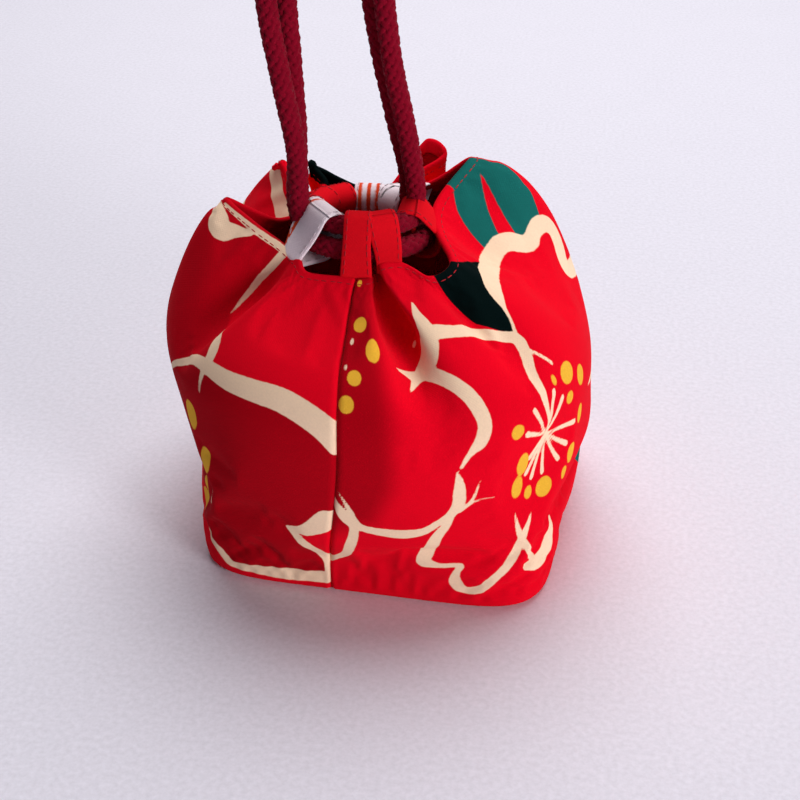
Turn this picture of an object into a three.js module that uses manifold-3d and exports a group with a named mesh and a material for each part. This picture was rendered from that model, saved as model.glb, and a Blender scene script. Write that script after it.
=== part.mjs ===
// Kinchaku drawstring pouch: a lined cloth bag with a flat boxed base, gathered by two cords.
// Millimetres, +Z up. The origin is the middle of the base, on the surface that the pouch stands on.
// The front seam faces -Y.
import * as THREE from "three";
import { mergeVertices } from "three/addons/utils/BufferGeometryUtils.js";
import Module from "manifold-3d";

// Colours
const RED = 0xc8101f;
const LINING_RED = 0xb80f20;
const STRIP_RED = 0xd5111f;
const STRIP_PALE = 0xe3d8dc;
const CORD_RED = 0x6d0a20;

// Cloth
const OUTER_CLOTH = 0.7;
const LINING_CLOTH = 0.5;
const SEWN_GAP = 0.3;

// Body: the outline of the base, and the widest ring of the belly, which leans a little to the left
const BASE = { width: 105, depth: 98, squareness: 5, x: -0.5, y: -1.5, height: 0 };
const BELLY = { width: 122, depth: 119, squareness: 2.3, x: -5, y: -1, height: 60 };
const BELLY_TILT = 0.07;
const BASE_EDGE_RISE = 18;
const BASE_EDGE_FLARE = 3;
const BELLY_HANDLE_DOWN = 26;
const BELLY_HANDLE_UP = 20;
const SHOULDER_REACH = 14;
const SHOULDER_DROP = 4;
const FRONT_SEAM = -98;
const BACK_SEAM = 86;
const PANEL_STEPS = 30;
const LOWER_ROWS = 3;
const UPPER_ROWS = 5;

// Mouth: directions in degrees round its middle, distances from it, and heights above its own level
const MOUTH = { x: -9, y: -2, height: 92 };
const LOOP_WIDTH = 8.4;
const LOOPS = [
  { name: "front_left_loop", direction: -84, radius: 25, rise: -3, color: STRIP_RED },
  { name: "front_right_loop", direction: -51, radius: 24.5, rise: 1.5, color: STRIP_RED },
  { name: "right_front_loop", direction: -11, radius: 24, rise: 3, color: STRIP_RED },
  { name: "right_back_loop", direction: 63, radius: 26.5, rise: 6.5, color: STRIP_PALE },
  { name: "back_right_loop", direction: 98, radius: 27, rise: 2.5, color: STRIP_PALE },
  { name: "back_left_loop", direction: 130, radius: 27.5, rise: 4, color: STRIP_RED },
  { name: "left_back_loop", direction: 162.5, radius: 23.5, rise: 2.5, color: STRIP_RED },
  { name: "left_front_loop", direction: 224, radius: 24, rise: 1, color: STRIP_PALE },
];
const FOLDS = [
  { direction: -67.5, radius: 20.5, rise: -1.5 },
  { direction: -31, radius: 32, rise: 2.5 },
  { direction: 10, radius: 29, rise: 9 },
  { direction: 34, radius: 34, rise: 15 },
  { direction: 80.5, radius: 34, rise: 9.5 },
  { direction: 114, radius: 31, rise: 5 },
  { direction: 145.5, radius: 31.5, rise: 7.5 },
  { direction: 185, radius: 38, rise: 9 },
  { direction: 204, radius: 31, rise: 5.5 },
  { direction: 249, radius: 23.5, rise: -1.5 },
];

// Cords: one ring of each lies in the loops, the right cord's inside and above the left cord's
const CORD = 6;
const CORD_CLEARANCE = 0.3;
const LOOP_CLOTH = 1;
const LOOP_SEAT = 1.2;
const INNER_RING_RADIUS = 13.5;
const RINGS_UNDERSIDE = 0.5;
const RING_SLOPE = 57;
const CORD_SIDES = 8;
const CORD_STEPS = 72;
const RING_POINT_EVERY = 10;

// Each cord's course round the mouth: the first and last loop on its way, which way it turns, and
// where its two strands lift off, by direction in degrees and by distances in cord diameters
const PAST_LOOP = 0.33;
const LEFT_COURSE = {
  first: "left_front_loop",
  last: "left_back_loop",
  turn: 1,
  lifts: [{ direction: 202.8, out: 0.68, up: 1.09 }, { direction: 184.5, out: 0.7, up: 0.95 }],
};
const RIGHT_COURSE = {
  first: "right_front_loop",
  last: "right_back_loop",
  turn: -1,
  lifts: [{ direction: 14, out: 0.37, up: 0.8 }, { direction: 39.6, out: 0.39, up: 0.9 }],
};

// Knots: the solid shape of each knot, with the two short cord ends that stand out of it
const KNOT = { radius: 10.5, neck: 7, height: 19, shoulder: 5, sides: 16 };
const TAIL = { length: 9, spread: 3.6, sides: 10 };

const group = new THREE.Group();
const wasm = await Module();
wasm.setup();

function material(color, roughness) {
  return new THREE.MeshStandardMaterial({ color, roughness, metalness: 0 });
}

function addMesh(name, geometry, color, roughness = 0.85) {
  const mesh = new THREE.Mesh(geometry, material(color, roughness));
  mesh.name = name;
  group.add(mesh);
  return mesh;
}

const radians = THREE.MathUtils.degToRad;

function outward(direction) {
  return new THREE.Vector3(Math.cos(radians(direction)), Math.sin(radians(direction)), 0);
}

// A place round the mouth, by direction, distance and height above the mouth's level
function mouthPoint(direction, radius, rise) {
  const middle = new THREE.Vector3(MOUTH.x, MOUTH.y, MOUTH.height + rise);
  return outward(direction).multiplyScalar(radius).add(middle);
}

// A point of a rounded ring: a superellipse round the ring's own middle
function ringPoint(ring, direction) {
  const ray = outward(direction);
  const sideways = Math.abs(ray.x) / (ring.width / 2);
  const lengthways = Math.abs(ray.y) / (ring.depth / 2);
  const sum = sideways ** ring.squareness + lengthways ** ring.squareness;
  const middle = new THREE.Vector3(ring.x, ring.y, ring.height);
  return ray.multiplyScalar(sum ** (-1 / ring.squareness)).add(middle);
}

// Half the angle that a loop takes up round the mouth
function loopHalfTurn(loop) {
  return THREE.MathUtils.radToDeg(Math.atan2(LOOP_WIDTH / 2, loop.radius));
}

// The rim: straight where a loop is sewn in, and folded in or out between loops
function rimKnots() {
  const knots = FOLDS.map((fold) => ({
    direction: fold.direction,
    point: mouthPoint(fold.direction, fold.radius, fold.rise),
  }));
  for (const loop of LOOPS) {
    const halfTurn = loopHalfTurn(loop);
    for (const side of [-1, 1]) {
      const along = outward(loop.direction + 90).multiplyScalar((side * LOOP_WIDTH) / 2);
      const point = mouthPoint(loop.direction, loop.radius, loop.rise).add(along);
      knots.push({ direction: loop.direction + side * halfTurn, point });
    }
  }
  return knots.sort((a, b) => a.direction - b.direction);
}

const RIM_KNOTS = rimKnots();
const RIM = new THREE.CatmullRomCurve3(RIM_KNOTS.map((knot) => knot.point), true, "centripetal");

function rimPoint(direction) {
  const first = RIM_KNOTS[0].direction;
  const wrapped = first + THREE.MathUtils.euclideanModulo(direction - first, 360);
  const count = RIM_KNOTS.length;
  let index = count - 1;
  while (RIM_KNOTS[index].direction > wrapped) {
    index -= 1;
  }
  const start = RIM_KNOTS[index].direction;
  const end = index + 1 < count ? RIM_KNOTS[index + 1].direction : first + 360;
  return RIM.getPoint((index + (wrapped - start) / (end - start)) / count);
}

// One upright line of the wall, from the base edge over the belly to the rim
function wallColumn(direction) {
  const away = outward(direction);
  const up = new THREE.Vector3(0, 0, 1);
  const foot = ringPoint(BASE, direction);
  const belly = ringPoint(BELLY, direction);
  belly.z -= BELLY_TILT * belly.x;
  const rim = rimPoint(direction);
  const aboveFoot = foot.clone().addScaledVector(up, BASE_EDGE_RISE).addScaledVector(away, BASE_EDGE_FLARE);
  const underBelly = belly.clone().addScaledVector(up, -BELLY_HANDLE_DOWN);
  const overBelly = belly.clone().addScaledVector(up, BELLY_HANDLE_UP);
  const shoulder = rim.clone().addScaledVector(away, SHOULDER_REACH).addScaledVector(up, -SHOULDER_DROP);
  const lower = new THREE.CubicBezierCurve3(foot, aboveFoot, underBelly, belly);
  const upper = new THREE.CubicBezierCurve3(belly, overBelly, shoulder, rim);
  return [...lower.getPoints(LOWER_ROWS), ...upper.getPoints(UPPER_ROWS).slice(1)];
}

// The wall's points and outward normals at the given directions
function wallGrid(directions) {
  const SIDE_STEP = 180 / PANEL_STEPS;
  return directions.map((direction) => {
    const before = wallColumn(direction - SIDE_STEP);
    const after = wallColumn(direction + SIDE_STEP);
    const column = wallColumn(direction);
    return column.map((point, row) => {
      const along = after[row].clone().sub(before[row]);
      const top = column[Math.min(row + 1, column.length - 1)];
      const rising = top.clone().sub(column[Math.max(row - 1, 0)]);
      const normal = along.cross(rising);
      if (row === 0) {
        normal.z = 0;
      }
      return { point, normal: normal.normalize() };
    });
  });
}

// A sheet of cloth on the wall, closed all round: its face lies `depth` inside the wall
function clothSheet(grid, depth, thickness, lift) {
  const columns = grid.length;
  const rows = grid[0].length;
  const positions = [];
  for (const inset of [depth, depth + thickness]) {
    for (const column of grid) {
      column.forEach(({ point, normal }, row) => {
        const placed = point.clone().addScaledVector(normal, -inset);
        placed.z += row === 0 ? lift : 0;
        positions.push(placed.x, placed.y, placed.z);
      });
    }
  }
  const face = (column, row) => column * rows + row;
  const back = (column, row) => columns * rows + face(column, row);
  const index = [];
  const quad = (a, b, c, d) => index.push(a, b, c, a, c, d);
  for (let c = 0; c < columns - 1; c += 1) {
    for (let r = 0; r < rows - 1; r += 1) {
      quad(face(c, r), face(c + 1, r), face(c + 1, r + 1), face(c, r + 1));
      quad(back(c, r), back(c, r + 1), back(c + 1, r + 1), back(c + 1, r));
    }
    quad(face(c, 0), back(c, 0), back(c + 1, 0), face(c + 1, 0));
    quad(face(c, rows - 1), face(c + 1, rows - 1), back(c + 1, rows - 1), back(c, rows - 1));
  }
  for (let r = 0; r < rows - 1; r += 1) {
    quad(face(0, r), face(0, r + 1), back(0, r + 1), back(0, r));
    quad(face(columns - 1, r), back(columns - 1, r), back(columns - 1, r + 1), face(columns - 1, r + 1));
  }
  const geometry = new THREE.BufferGeometry();
  geometry.setAttribute("position", new THREE.Float32BufferAttribute(positions, 3));
  geometry.setIndex(index);
  geometry.computeVertexNormals();
  return geometry;
}

// A flat panel of cloth that fills the bottom of the wall, `inset` in from the wall's face
function basePanel(grid, inset, thickness) {
  const outline = grid.map((column) => {
    const { point, normal } = column[0];
    return new THREE.Vector2(point.x - normal.x * inset, point.y - normal.y * inset);
  });
  return new THREE.ExtrudeGeometry(new THREE.Shape(outline), { depth: thickness, bevelEnabled: false });
}

function panelDirections(from, to) {
  const seamTurn = THREE.MathUtils.radToDeg(SEWN_GAP / BELLY.width);
  const sweep = to - from - 2 * seamTurn;
  return Array.from({ length: PANEL_STEPS + 1 }, (_, i) => from + seamTurn + (sweep * i) / PANEL_STEPS);
}

function addBody() {
  const rightGrid = wallGrid(panelDirections(FRONT_SEAM, BACK_SEAM));
  const leftGrid = wallGrid(panelDirections(BACK_SEAM, FRONT_SEAM + 360));
  const liningDepth = OUTER_CLOTH + SEWN_GAP;
  const liningLift = OUTER_CLOTH + SEWN_GAP;
  addMesh("outer_left_panel", clothSheet(leftGrid, 0, OUTER_CLOTH, 0), RED);
  addMesh("outer_right_panel", clothSheet(rightGrid, 0, OUTER_CLOTH, 0), RED);
  addMesh("lining_left_panel", clothSheet(leftGrid, liningDepth, LINING_CLOTH, liningLift), LINING_RED);
  addMesh("lining_right_panel", clothSheet(rightGrid, liningDepth, LINING_CLOTH, liningLift), LINING_RED);
  const allRound = [...rightGrid, ...leftGrid.slice(1, -1)];
  addMesh("outer_base", basePanel(allRound, OUTER_CLOTH + SEWN_GAP, OUTER_CLOTH), RED);
  const liningInset = liningDepth + LINING_CLOTH + SEWN_GAP;
  const liningBase = addMesh("lining_base", basePanel(allRound, liningInset, LINING_CLOTH), LINING_RED);
  liningBase.position.z = liningLift;
}

// Where each cord's ring lies round the mouth
const RING_STEP = CORD + 2 * CORD_CLEARANCE;
const OUTER_RING = {
  radius: INNER_RING_RADIUS + RING_STEP * Math.cos(radians(RING_SLOPE)),
  rise: RINGS_UNDERSIDE + CORD / 2,
};
const INNER_RING = {
  radius: INNER_RING_RADIUS,
  rise: OUTER_RING.rise + RING_STEP * Math.sin(radians(RING_SLOPE)),
};

function circlePoints(ring, radius) {
  const CIRCLE_SIDES = 14;
  return Array.from({ length: CIRCLE_SIDES }, (_, i) => {
    const angle = (2 * Math.PI * i) / CIRCLE_SIDES;
    return new THREE.Vector2(ring.radius + radius * Math.cos(angle), ring.rise + radius * Math.sin(angle));
  });
}

// The outline of a band pulled tight round a set of points, counter-clockwise
function tightBand(points) {
  const sorted = [...points].sort((a, b) => a.x - b.x || a.y - b.y);
  const half = (list) => {
    const chain = [];
    for (const point of list) {
      while (chain.length > 1) {
        const edge = chain.at(-1).clone().sub(chain.at(-2));
        const next = point.clone().sub(chain.at(-1));
        if (edge.cross(next) > 0) {
          break;
        }
        chain.pop();
      }
      chain.push(point);
    }
    return chain.slice(0, -1);
  };
  return [...half(sorted), ...half(sorted.reverse())];
}

// A loop: a strip sewn by both ends to the rim and pulled tight round the two cords.
// It narrows towards the cords, where the cloth bunches up.
function addLoop(loop) {
  const hole = CORD / 2 / Math.cos(Math.PI / CORD_SIDES) + CORD_CLEARANCE;
  const root = { radius: loop.radius, rise: loop.rise + LOOP_CLOTH + LOOP_SEAT };
  const band = (extra) => tightBand([
    ...circlePoints(INNER_RING, hole + extra),
    ...circlePoints(OUTER_RING, hole + extra),
    ...circlePoints(root, SEWN_GAP + extra),
  ]);
  const shape = new THREE.Shape(band(LOOP_CLOTH));
  shape.holes.push(new THREE.Path(band(0)));
  const geometry = new THREE.ExtrudeGeometry(shape, { depth: LOOP_WIDTH, bevelEnabled: false });
  geometry.translate(0, 0, -LOOP_WIDTH / 2);
  const position = geometry.getAttribute("position");
  for (let i = 0; i < position.count; i += 1) {
    position.setZ(i, (position.getZ(i) * position.getX(i)) / loop.radius);
  }
  const basis = new THREE.Matrix4().makeBasis(
    outward(loop.direction),
    new THREE.Vector3(0, 0, 1),
    outward(loop.direction - 90),
  );
  const mesh = addMesh(loop.name, geometry, loop.color);
  mesh.setRotationFromMatrix(basis);
  mesh.position.set(MOUTH.x, MOUTH.y, MOUTH.height);
}

// Where a strand lifts off its ring, between the last loop and the straight strand
function liftPoint(ring, lift) {
  return mouthPoint(lift.direction, ring.radius + lift.out * CORD, ring.rise + lift.up * CORD);
}

// A cord: down one strand, once round the mouth through every loop, and up the other strand
function addCord(name, ring, course, firstStrand, secondStrand) {
  const [first, last] = [course.first, course.last].map((loop) => LOOPS.find((each) => each.name === loop));
  const past = THREE.MathUtils.radToDeg((PAST_LOOP * CORD) / ring.radius);
  const from = first.direction - course.turn * (loopHalfTurn(first) + past);
  const to = last.direction + course.turn * (loopHalfTurn(last) + past);
  const sweep = course.turn * THREE.MathUtils.euclideanModulo(course.turn * (to - from), 360);
  const turns = Math.round(Math.abs(sweep) / RING_POINT_EVERY);
  const round = Array.from({ length: turns + 1 }, (_, i) => {
    return mouthPoint(from + (sweep * i) / turns, ring.radius, ring.rise);
  });
  const [down, up] = course.lifts.map((lift) => liftPoint(ring, lift));
  const points = [...firstStrand, down, ...round, up, ...secondStrand.toReversed()];
  const path = new THREE.CatmullRomCurve3(points, false, "centripetal");
  const section = new THREE.Shape(
    Array.from({ length: CORD_SIDES }, (_, i) => {
      const angle = (2 * Math.PI * i) / CORD_SIDES;
      return new THREE.Vector2((CORD / 2) * Math.cos(angle), (CORD / 2) * Math.sin(angle));
    }),
  );
  const geometry = new THREE.ExtrudeGeometry(section, { steps: CORD_STEPS, extrudePath: path });
  addMesh(name, geometry, CORD_RED, 0.95);
}

// A closed geometry as a solid: shared corners are merged and flat slivers at a lathe's axis dropped
function toManifold(geometry) {
  geometry.deleteAttribute("normal");
  geometry.deleteAttribute("uv");
  const merged = mergeVertices(geometry);
  const corners = merged.getIndex().array;
  const triangles = [];
  for (let i = 0; i < corners.length; i += 3) {
    const [a, b, c] = corners.slice(i, i + 3);
    if (a !== b && b !== c && c !== a) {
      triangles.push(a, b, c);
    }
  }
  const vertProperties = new Float32Array(merged.getAttribute("position").array);
  const mesh = new wasm.Mesh({ numProp: 3, vertProperties, triVerts: new Uint32Array(triangles) });
  return new wasm.Manifold(mesh);
}

// A knot in a pair of strands, upright on the ends of both
function addKnot(name, firstEnd, secondEnd) {
  const profile = [
    new THREE.Vector2(0, 0),
    new THREE.Vector2(KNOT.neck, 0),
    new THREE.Vector2(KNOT.radius, KNOT.shoulder),
    new THREE.Vector2(KNOT.radius, KNOT.height - KNOT.shoulder),
    new THREE.Vector2(KNOT.neck, KNOT.height),
    new THREE.Vector2(0, KNOT.height),
  ];
  let solid = toManifold(new THREE.LatheGeometry(profile, KNOT.sides));
  for (const side of [-1, 1]) {
    const length = KNOT.height / 2 + TAIL.length;
    const tail = new THREE.CylinderGeometry(CORD / 2, CORD / 2, length, TAIL.sides);
    tail.translate(side * TAIL.spread, KNOT.height + TAIL.length - length / 2, 0);
    solid = solid.add(toManifold(tail));
  }
  const { vertProperties, triVerts } = solid.getMesh();
  const geometry = new THREE.BufferGeometry();
  geometry.setAttribute("position", new THREE.BufferAttribute(vertProperties, 3));
  geometry.setIndex(new THREE.BufferAttribute(triVerts, 1));
  const mesh = addMesh(name, geometry, CORD_RED, 0.95);
  mesh.rotation.x = Math.PI / 2;
  mesh.position.copy(firstEnd).add(secondEnd).multiplyScalar(0.5);
  mesh.position.z += CORD_CLEARANCE;
}

// The strands' points, chosen by hand from the knot above downwards, measured from the mouth's middle
const point = (x, y, z) => new THREE.Vector3(MOUTH.x + x, MOUTH.y + y, MOUTH.height + z);
const LEFT_FRONT_STRAND = [
  point(-23.4, -6.8, 77),
  point(-23.4, -6.8, 71),
  point(-21.6, -8, 48),
  point(-20, -8.4, 28),
];
const LEFT_BACK_STRAND = [
  point(-19.6, -1.4, 77),
  point(-19.6, -1.4, 71),
  point(-19.8, -0.8, 48),
  point(-20.8, -0.8, 28),
];
const RIGHT_FRONT_STRAND = [
  point(4.6, 3.6, 77),
  point(4.6, 3.6, 71),
  point(8, 3.4, 48),
  point(12.4, 3.8, 30),
];
const RIGHT_BACK_STRAND = [
  point(0.4, 8.8, 77),
  point(0.4, 8.8, 71),
  point(4, 10, 48),
  point(7.8, 10.8, 32),
];

addBody();
LOOPS.forEach(addLoop);
addCord("left_cord", OUTER_RING, LEFT_COURSE, LEFT_FRONT_STRAND, LEFT_BACK_STRAND);
addCord("right_cord", INNER_RING, RIGHT_COURSE, RIGHT_FRONT_STRAND, RIGHT_BACK_STRAND);
addKnot("left_knot", LEFT_FRONT_STRAND[0], LEFT_BACK_STRAND[0]);
addKnot("right_knot", RIGHT_FRONT_STRAND[0], RIGHT_BACK_STRAND[0]);

export default group;
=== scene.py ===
"""Kinchaku drawstring pouch: printed cloth, lining, loops, braided cords and their finishes."""
import math

import bmesh
import bpy
import numpy as np
from mathutils import Matrix, Vector


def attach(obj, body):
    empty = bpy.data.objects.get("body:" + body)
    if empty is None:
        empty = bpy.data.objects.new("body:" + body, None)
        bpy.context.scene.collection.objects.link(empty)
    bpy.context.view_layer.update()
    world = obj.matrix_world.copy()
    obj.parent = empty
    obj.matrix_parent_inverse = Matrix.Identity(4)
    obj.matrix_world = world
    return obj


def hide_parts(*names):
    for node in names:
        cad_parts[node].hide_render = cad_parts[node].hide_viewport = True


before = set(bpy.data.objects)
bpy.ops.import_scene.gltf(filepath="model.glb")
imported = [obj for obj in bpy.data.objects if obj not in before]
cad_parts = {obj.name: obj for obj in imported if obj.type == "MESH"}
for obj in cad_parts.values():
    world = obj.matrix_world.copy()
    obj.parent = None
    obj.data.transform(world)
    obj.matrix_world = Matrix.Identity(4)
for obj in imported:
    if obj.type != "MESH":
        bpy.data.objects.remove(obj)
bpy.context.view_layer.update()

bl_info = {
    "name": "Drawstring Pouch",
    "version": (1, 0, 0),
    "blender": (4, 5, 0),
    "location": "View3D > Sidebar > Pouch",
    "description": "Builds a gathered cloth pouch with loops and braided drawcords",
    "category": "Add Mesh",
}

MM = 0.001
BODY = "root"

# Wall of the pouch, in millimetres. Directions are in degrees round the pouch, from +X towards +Y.
BASE_RING = {"width": 105, "depth": 98, "squareness": 6, "middle": (-0.5, -1.5)}
BELLY_RING = {"width": 122, "depth": 119, "squareness": 2.3, "middle": (-5, -1)}
BELLY_HEIGHT = 60
BELLY_TILT = 0.07
BELLY_HANDLE_DOWN = 20
BELLY_HANDLE_UP = 22
RIGHT_FULLNESS = 6
BELLY_LEAN = 5.5
BASE_CURL = 2.0
BASE_LEAN = 3.5
BASE_RISE = 20
BASE_FLARE = 1
BASE_TURN = -2.5
SHOULDER_REACH = 0.3
SHOULDER_DROP = 7
STANDING_DROP = 14
FRONT_SEAM = -98
BACK_SEAM = 86
WALL_HEIGHT = 112
BELLY_SHARE = 0.5
PERIMETER = 388

# The rim of the mouth: direction in the cloth, then x, y and z. A loop is sewn in between each a and b.
RIM = {
    "front left a": (-105, -11.9, -25.6, 90.6),
    "seam lip": (-98, -7.8, -26.0, 90.5),
    "front left b": (-88, -4.0, -24.8, 90.5),
    "pleat": (-77, -2.6, -19.4, 89.4),
    "front right a": (-66, -2.0, -22.6, 93.5),
    "front right b": (-54, 4.0, -21.4, 94.0),
    "dip": (-43, 11.7, -25.3, 92.5),
    "front right fold": (-27, 18.0, -19.7, 94.5),
    "right front a": (-12, 12.8, -7.4, 97.0),
    "right front b": (2, 10.8, 1.6, 99.8),
    "right fold": (28, 18.4, 19.5, 107.5),
    "right back a": (48, 7.4, 20.4, 99.5),
    "right back b": (60, 1.6, 22.4, 98.0),
    "right lobe": (69, 10.2, 31.5, 101.8),
    "back right fold": (80, 3.0, 36.5, 103.6),
    "back right a": (91, -6.4, 25.4, 94.2),
    "back right b": (104, -14.8, 24.3, 94.2),
    "back fold": (118, -30.5, 25.5, 99.6),
    "back left a": (128, -25.4, 20.2, 96.0),
    "back left b": (138, -29.8, 15.4, 96.0),
    "back left fold": (148, -37.6, 21.0, 102.5),
    "left back a": (160, -31.0, 8.0, 95.0),
    "left back b": (172, -32.0, 1.0, 94.6),
    "left valley": (179, -35.4, -2.6, 95.5),
    "left fold": (191, -48.6, -3.2, 101.0),
    "left fold front": (204, -38.1, -12.2, 97.5),
    "left front a": (214, -30.0, -15.8, 94.0),
    "left front b": (226, -25.2, -19.8, 92.2),
    "front left rim": (241, -21.6, -24.4, 90.6),
}
# Where the cloth stands up or leans out at the rim, instead of coming in over the shoulder
RIM_REACH = {"right lobe": -0.25, "back right fold": -0.35, "right fold": 0.45, "back fold": 0.0}

# Mouth and cords. Heights of the rings and points of the strands are measured from the mouth's middle.
MOUTH = np.array([-9.0, -2.0, 92.0])
INNER_RING = {"radius": 13.5, "rise": 9.035}
OUTER_RING = {"radius": 17.095, "rise": 3.5}
RING_SAG = 4.5
CORD_DIAMETER = 6.0
# Where a cord rises from its ring: direction, and how far out and up in diameters of the cord
CORD_LIFTS = {
    "left": ((202.8, 0.18, 1.09), (184.5, 0.30, 0.95)),
    "right": ((14.0, 0.15, 0.80), (39.6, 0.20, 0.90)),
}
# Directions from which and to which each cord lies in its ring
CORD_COURSES = {"left": (207.4, 539.3), "right": (7.3, -314.4)}
# The two strands of each cord, from the knot down
STRANDS = {
    "left": (
        ((-23.4, -6.8, 77), (-23.4, -6.8, 71), (-20.4, -7.8, 48), (-17.2, -7.6, 28)),
        ((-19.6, -1.4, 77), (-19.6, -1.4, 71), (-18.8, -0.8, 48), (-18.2, -0.8, 28)),
    ),
    "right": (
        ((4.6, 3.6, 77), (4.6, 3.6, 71), (7.6, 3.4, 48), (11.2, 3.8, 30)),
        ((0.4, 8.8, 77), (0.4, 8.8, 71), (3.6, 10.0, 48), (6.8, 10.8, 32)),
    ),
}

# The loops: node, place on the rim, cloth, and width where it goes over the cords
LOOPS = (
    ("front_left_loop", "front left", "red", 7.6),
    ("front_right_loop", "front right", "red", 8.8),
    ("right_front_loop", "right front", "red", 12.5),
    ("right_back_loop", "right back", "pale", 8.0),
    ("back_right_loop", "back right", "pale", 8.4),
    ("back_left_loop", "back left", "red", 8.0),
    ("left_back_loop", "left back", "red", 8.0),
    ("left_front_loop", "left front", "pale", 13.0),
)


def colour_property(name, description, default):
    """A colour that a user may change, in linear light."""
    return bpy.props.FloatVectorProperty(
        name=name, description=description, default=default, subtype="COLOR", size=3, min=0, max=1
    )


class PouchCloth(bpy.types.PropertyGroup):
    """Sizes and colours of the cloth."""
    outer_thickness: bpy.props.FloatProperty(
        name="Outer cloth", description="Thickness of the printed cloth",
        default=0.7 * MM, min=0.2 * MM, max=2 * MM, subtype="DISTANCE", unit="LENGTH",
    )
    hem_depth: bpy.props.FloatProperty(
        name="Hem", description="Depth of the turned hem at the rim",
        default=2.4 * MM, min=1.5 * MM, max=10 * MM, subtype="DISTANCE", unit="LENGTH",
    )
    lining_thickness: bpy.props.FloatProperty(
        name="Lining", description="Thickness of the lining cloth",
        default=0.45 * MM, min=0.2 * MM, max=2 * MM, subtype="DISTANCE", unit="LENGTH",
    )
    red: colour_property("Red", "Ground of the printed cloth", (0.80, 0.0005, 0.013))
    # The deeper red is printed in the left blossom's petals and also paints shade: beside the front seam on
    # the right and in the top of the left panel
    deep_red_and_shade: colour_property("Deep red", "Insides of the darker petals", (0.44, 0.0002, 0.007))
    cream: colour_property("Cream", "Blossom outlines", (0.96, 0.70, 0.49))
    yellow: colour_property("Yellow", "Stamen dots", (0.86, 0.46, 0.04))
    green: colour_property("Green", "Leaves in the light", (0.008, 0.13, 0.115))
    dark_green: colour_property("Dark green", "Leaves in the shade", (0.0006, 0.005, 0.005))
    lining: colour_property("Lining", "Plain lining cloth", (0.66, 0.003, 0.012))
    strip_red: colour_property("Red strip", "Red cord loops", (0.74, 0.004, 0.012))
    strip_pale: colour_property("Pale strip", "Pale cord loops", (0.95, 0.84, 0.90))
    orange: colour_property("Orange", "Marks on the pale loops", (0.78, 0.07, 0.02))
    thread_red: colour_property("Red thread", "Thread of the hem and the red loops", (0.52, 0.003, 0.014))
    thread_pale: colour_property("Pale thread", "Thread of the pale loops", (0.70, 0.60, 0.64))


class PouchCord(bpy.types.PropertyGroup):
    """Sizes and colour of the braided cords."""
    diameter: bpy.props.FloatProperty(
        name="Diameter", description="Thickness of the braided cord",
        default=CORD_DIAMETER * MM, min=3 * MM, max=10 * MM, subtype="DISTANCE", unit="LENGTH",
    )
    lay_length: bpy.props.FloatProperty(
        name="Lay", description="Length of cord in which a strand goes once round it",
        default=19 * MM, min=8 * MM, max=40 * MM, subtype="DISTANCE", unit="LENGTH",
    )
    burgundy: colour_property("Burgundy", "Colour of the cord", (0.225, 0.001, 0.014))


class PouchStage(bpy.types.PropertyGroup):
    """Floor, light and camera."""
    floor: colour_property("Floor", "Pale floor", (0.80, 0.79, 0.88))
    lens: bpy.props.FloatProperty(
        name="Lens", description="Focal length of the camera",
        default=63.45, min=20, max=200, unit="CAMERA",
    )
    key_power: bpy.props.FloatProperty(
        name="Key light", description="Power of the soft light above and behind",
        default=17.0, min=0, unit="POWER",
    )
    side_power: bpy.props.FloatProperty(
        name="Side light", description="Power of the soft light from the right",
        default=9.5, min=0, unit="POWER",
    )


# Curves and grids

SPLINE_STEPS = 60


def hermite(start, end, leaving, arriving, step, t):
    """Cubic curves from start to end with the given slopes, read at the shares t of their steps."""
    first = (2 * t**3 - 3 * t**2 + 1) * start + (t**3 - 2 * t**2 + t) * step * leaving
    second = (3 * t**2 - 2 * t**3) * end + (t**3 - t**2) * step * arriving
    return first + second


def closed_spline(stations, points, where, period):
    """A smooth closed curve through the points at their stations, read at other stations."""
    stations = np.asarray(stations, float)
    points = np.asarray(points, float)
    steps = np.diff(np.append(stations, stations[0] + period))
    slopes = (np.roll(points, -1, 0) - points) / steps[:, None]
    before = np.roll(steps, 1)[:, None]
    after = steps[:, None]
    tangents = (np.roll(slopes, 1, 0) * after + slopes * before) / (before + after)
    wrapped = stations[0] + np.mod(np.asarray(where, float) - stations[0], period)
    index = np.searchsorted(stations, wrapped, side="right") - 1
    following = (index + 1) % len(stations)
    step = steps[index][:, None]
    t = ((wrapped - stations[index]) / steps[index])[:, None]
    return hermite(points[index], points[following], tangents[index], tangents[following], step, t)


def open_spline(points, spacing):
    """A smooth open curve through the points, with points about `spacing` apart."""
    points = np.asarray(points, float)
    chords = np.sqrt(np.linalg.norm(np.diff(points, axis=0), axis=1))
    stations = np.concatenate([[0], np.cumsum(chords)])
    slopes = np.diff(points, axis=0) / chords[:, None]
    tangents = np.empty_like(points)
    tangents[0] = slopes[0]
    tangents[-1] = slopes[-1]
    before = chords[:-1, None]
    after = chords[1:, None]
    tangents[1:-1] = (slopes[:-1] * after + slopes[1:] * before) / (before + after)
    where = np.linspace(0, stations[-1], SPLINE_STEPS * len(points))
    index = np.clip(np.searchsorted(stations, where, side="right") - 1, 0, len(chords) - 1)
    step = chords[index][:, None]
    t = ((where - stations[index]) / chords[index])[:, None]
    following = index + 1
    line = hermite(points[index], points[following], tangents[index], tangents[following], step, t)
    return evenly(line, spacing)


def lengths_along(line):
    """How far along the line each of its points lies."""
    return np.concatenate([[0], np.cumsum(np.linalg.norm(np.diff(line, axis=0), axis=1))])


def evenly(points, spacing):
    """The same line with its points an even distance apart."""
    lengths = lengths_along(points)
    count = max(2, int(round(lengths[-1] / spacing)) + 1)
    where = np.linspace(0, lengths[-1], count)
    return np.column_stack([np.interp(where, lengths, points[:, axis]) for axis in range(points.shape[1])])


def unit(vectors):
    """The vectors at length one."""
    return vectors / np.maximum(np.linalg.norm(vectors, axis=-1, keepdims=True), 1e-9)


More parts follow.
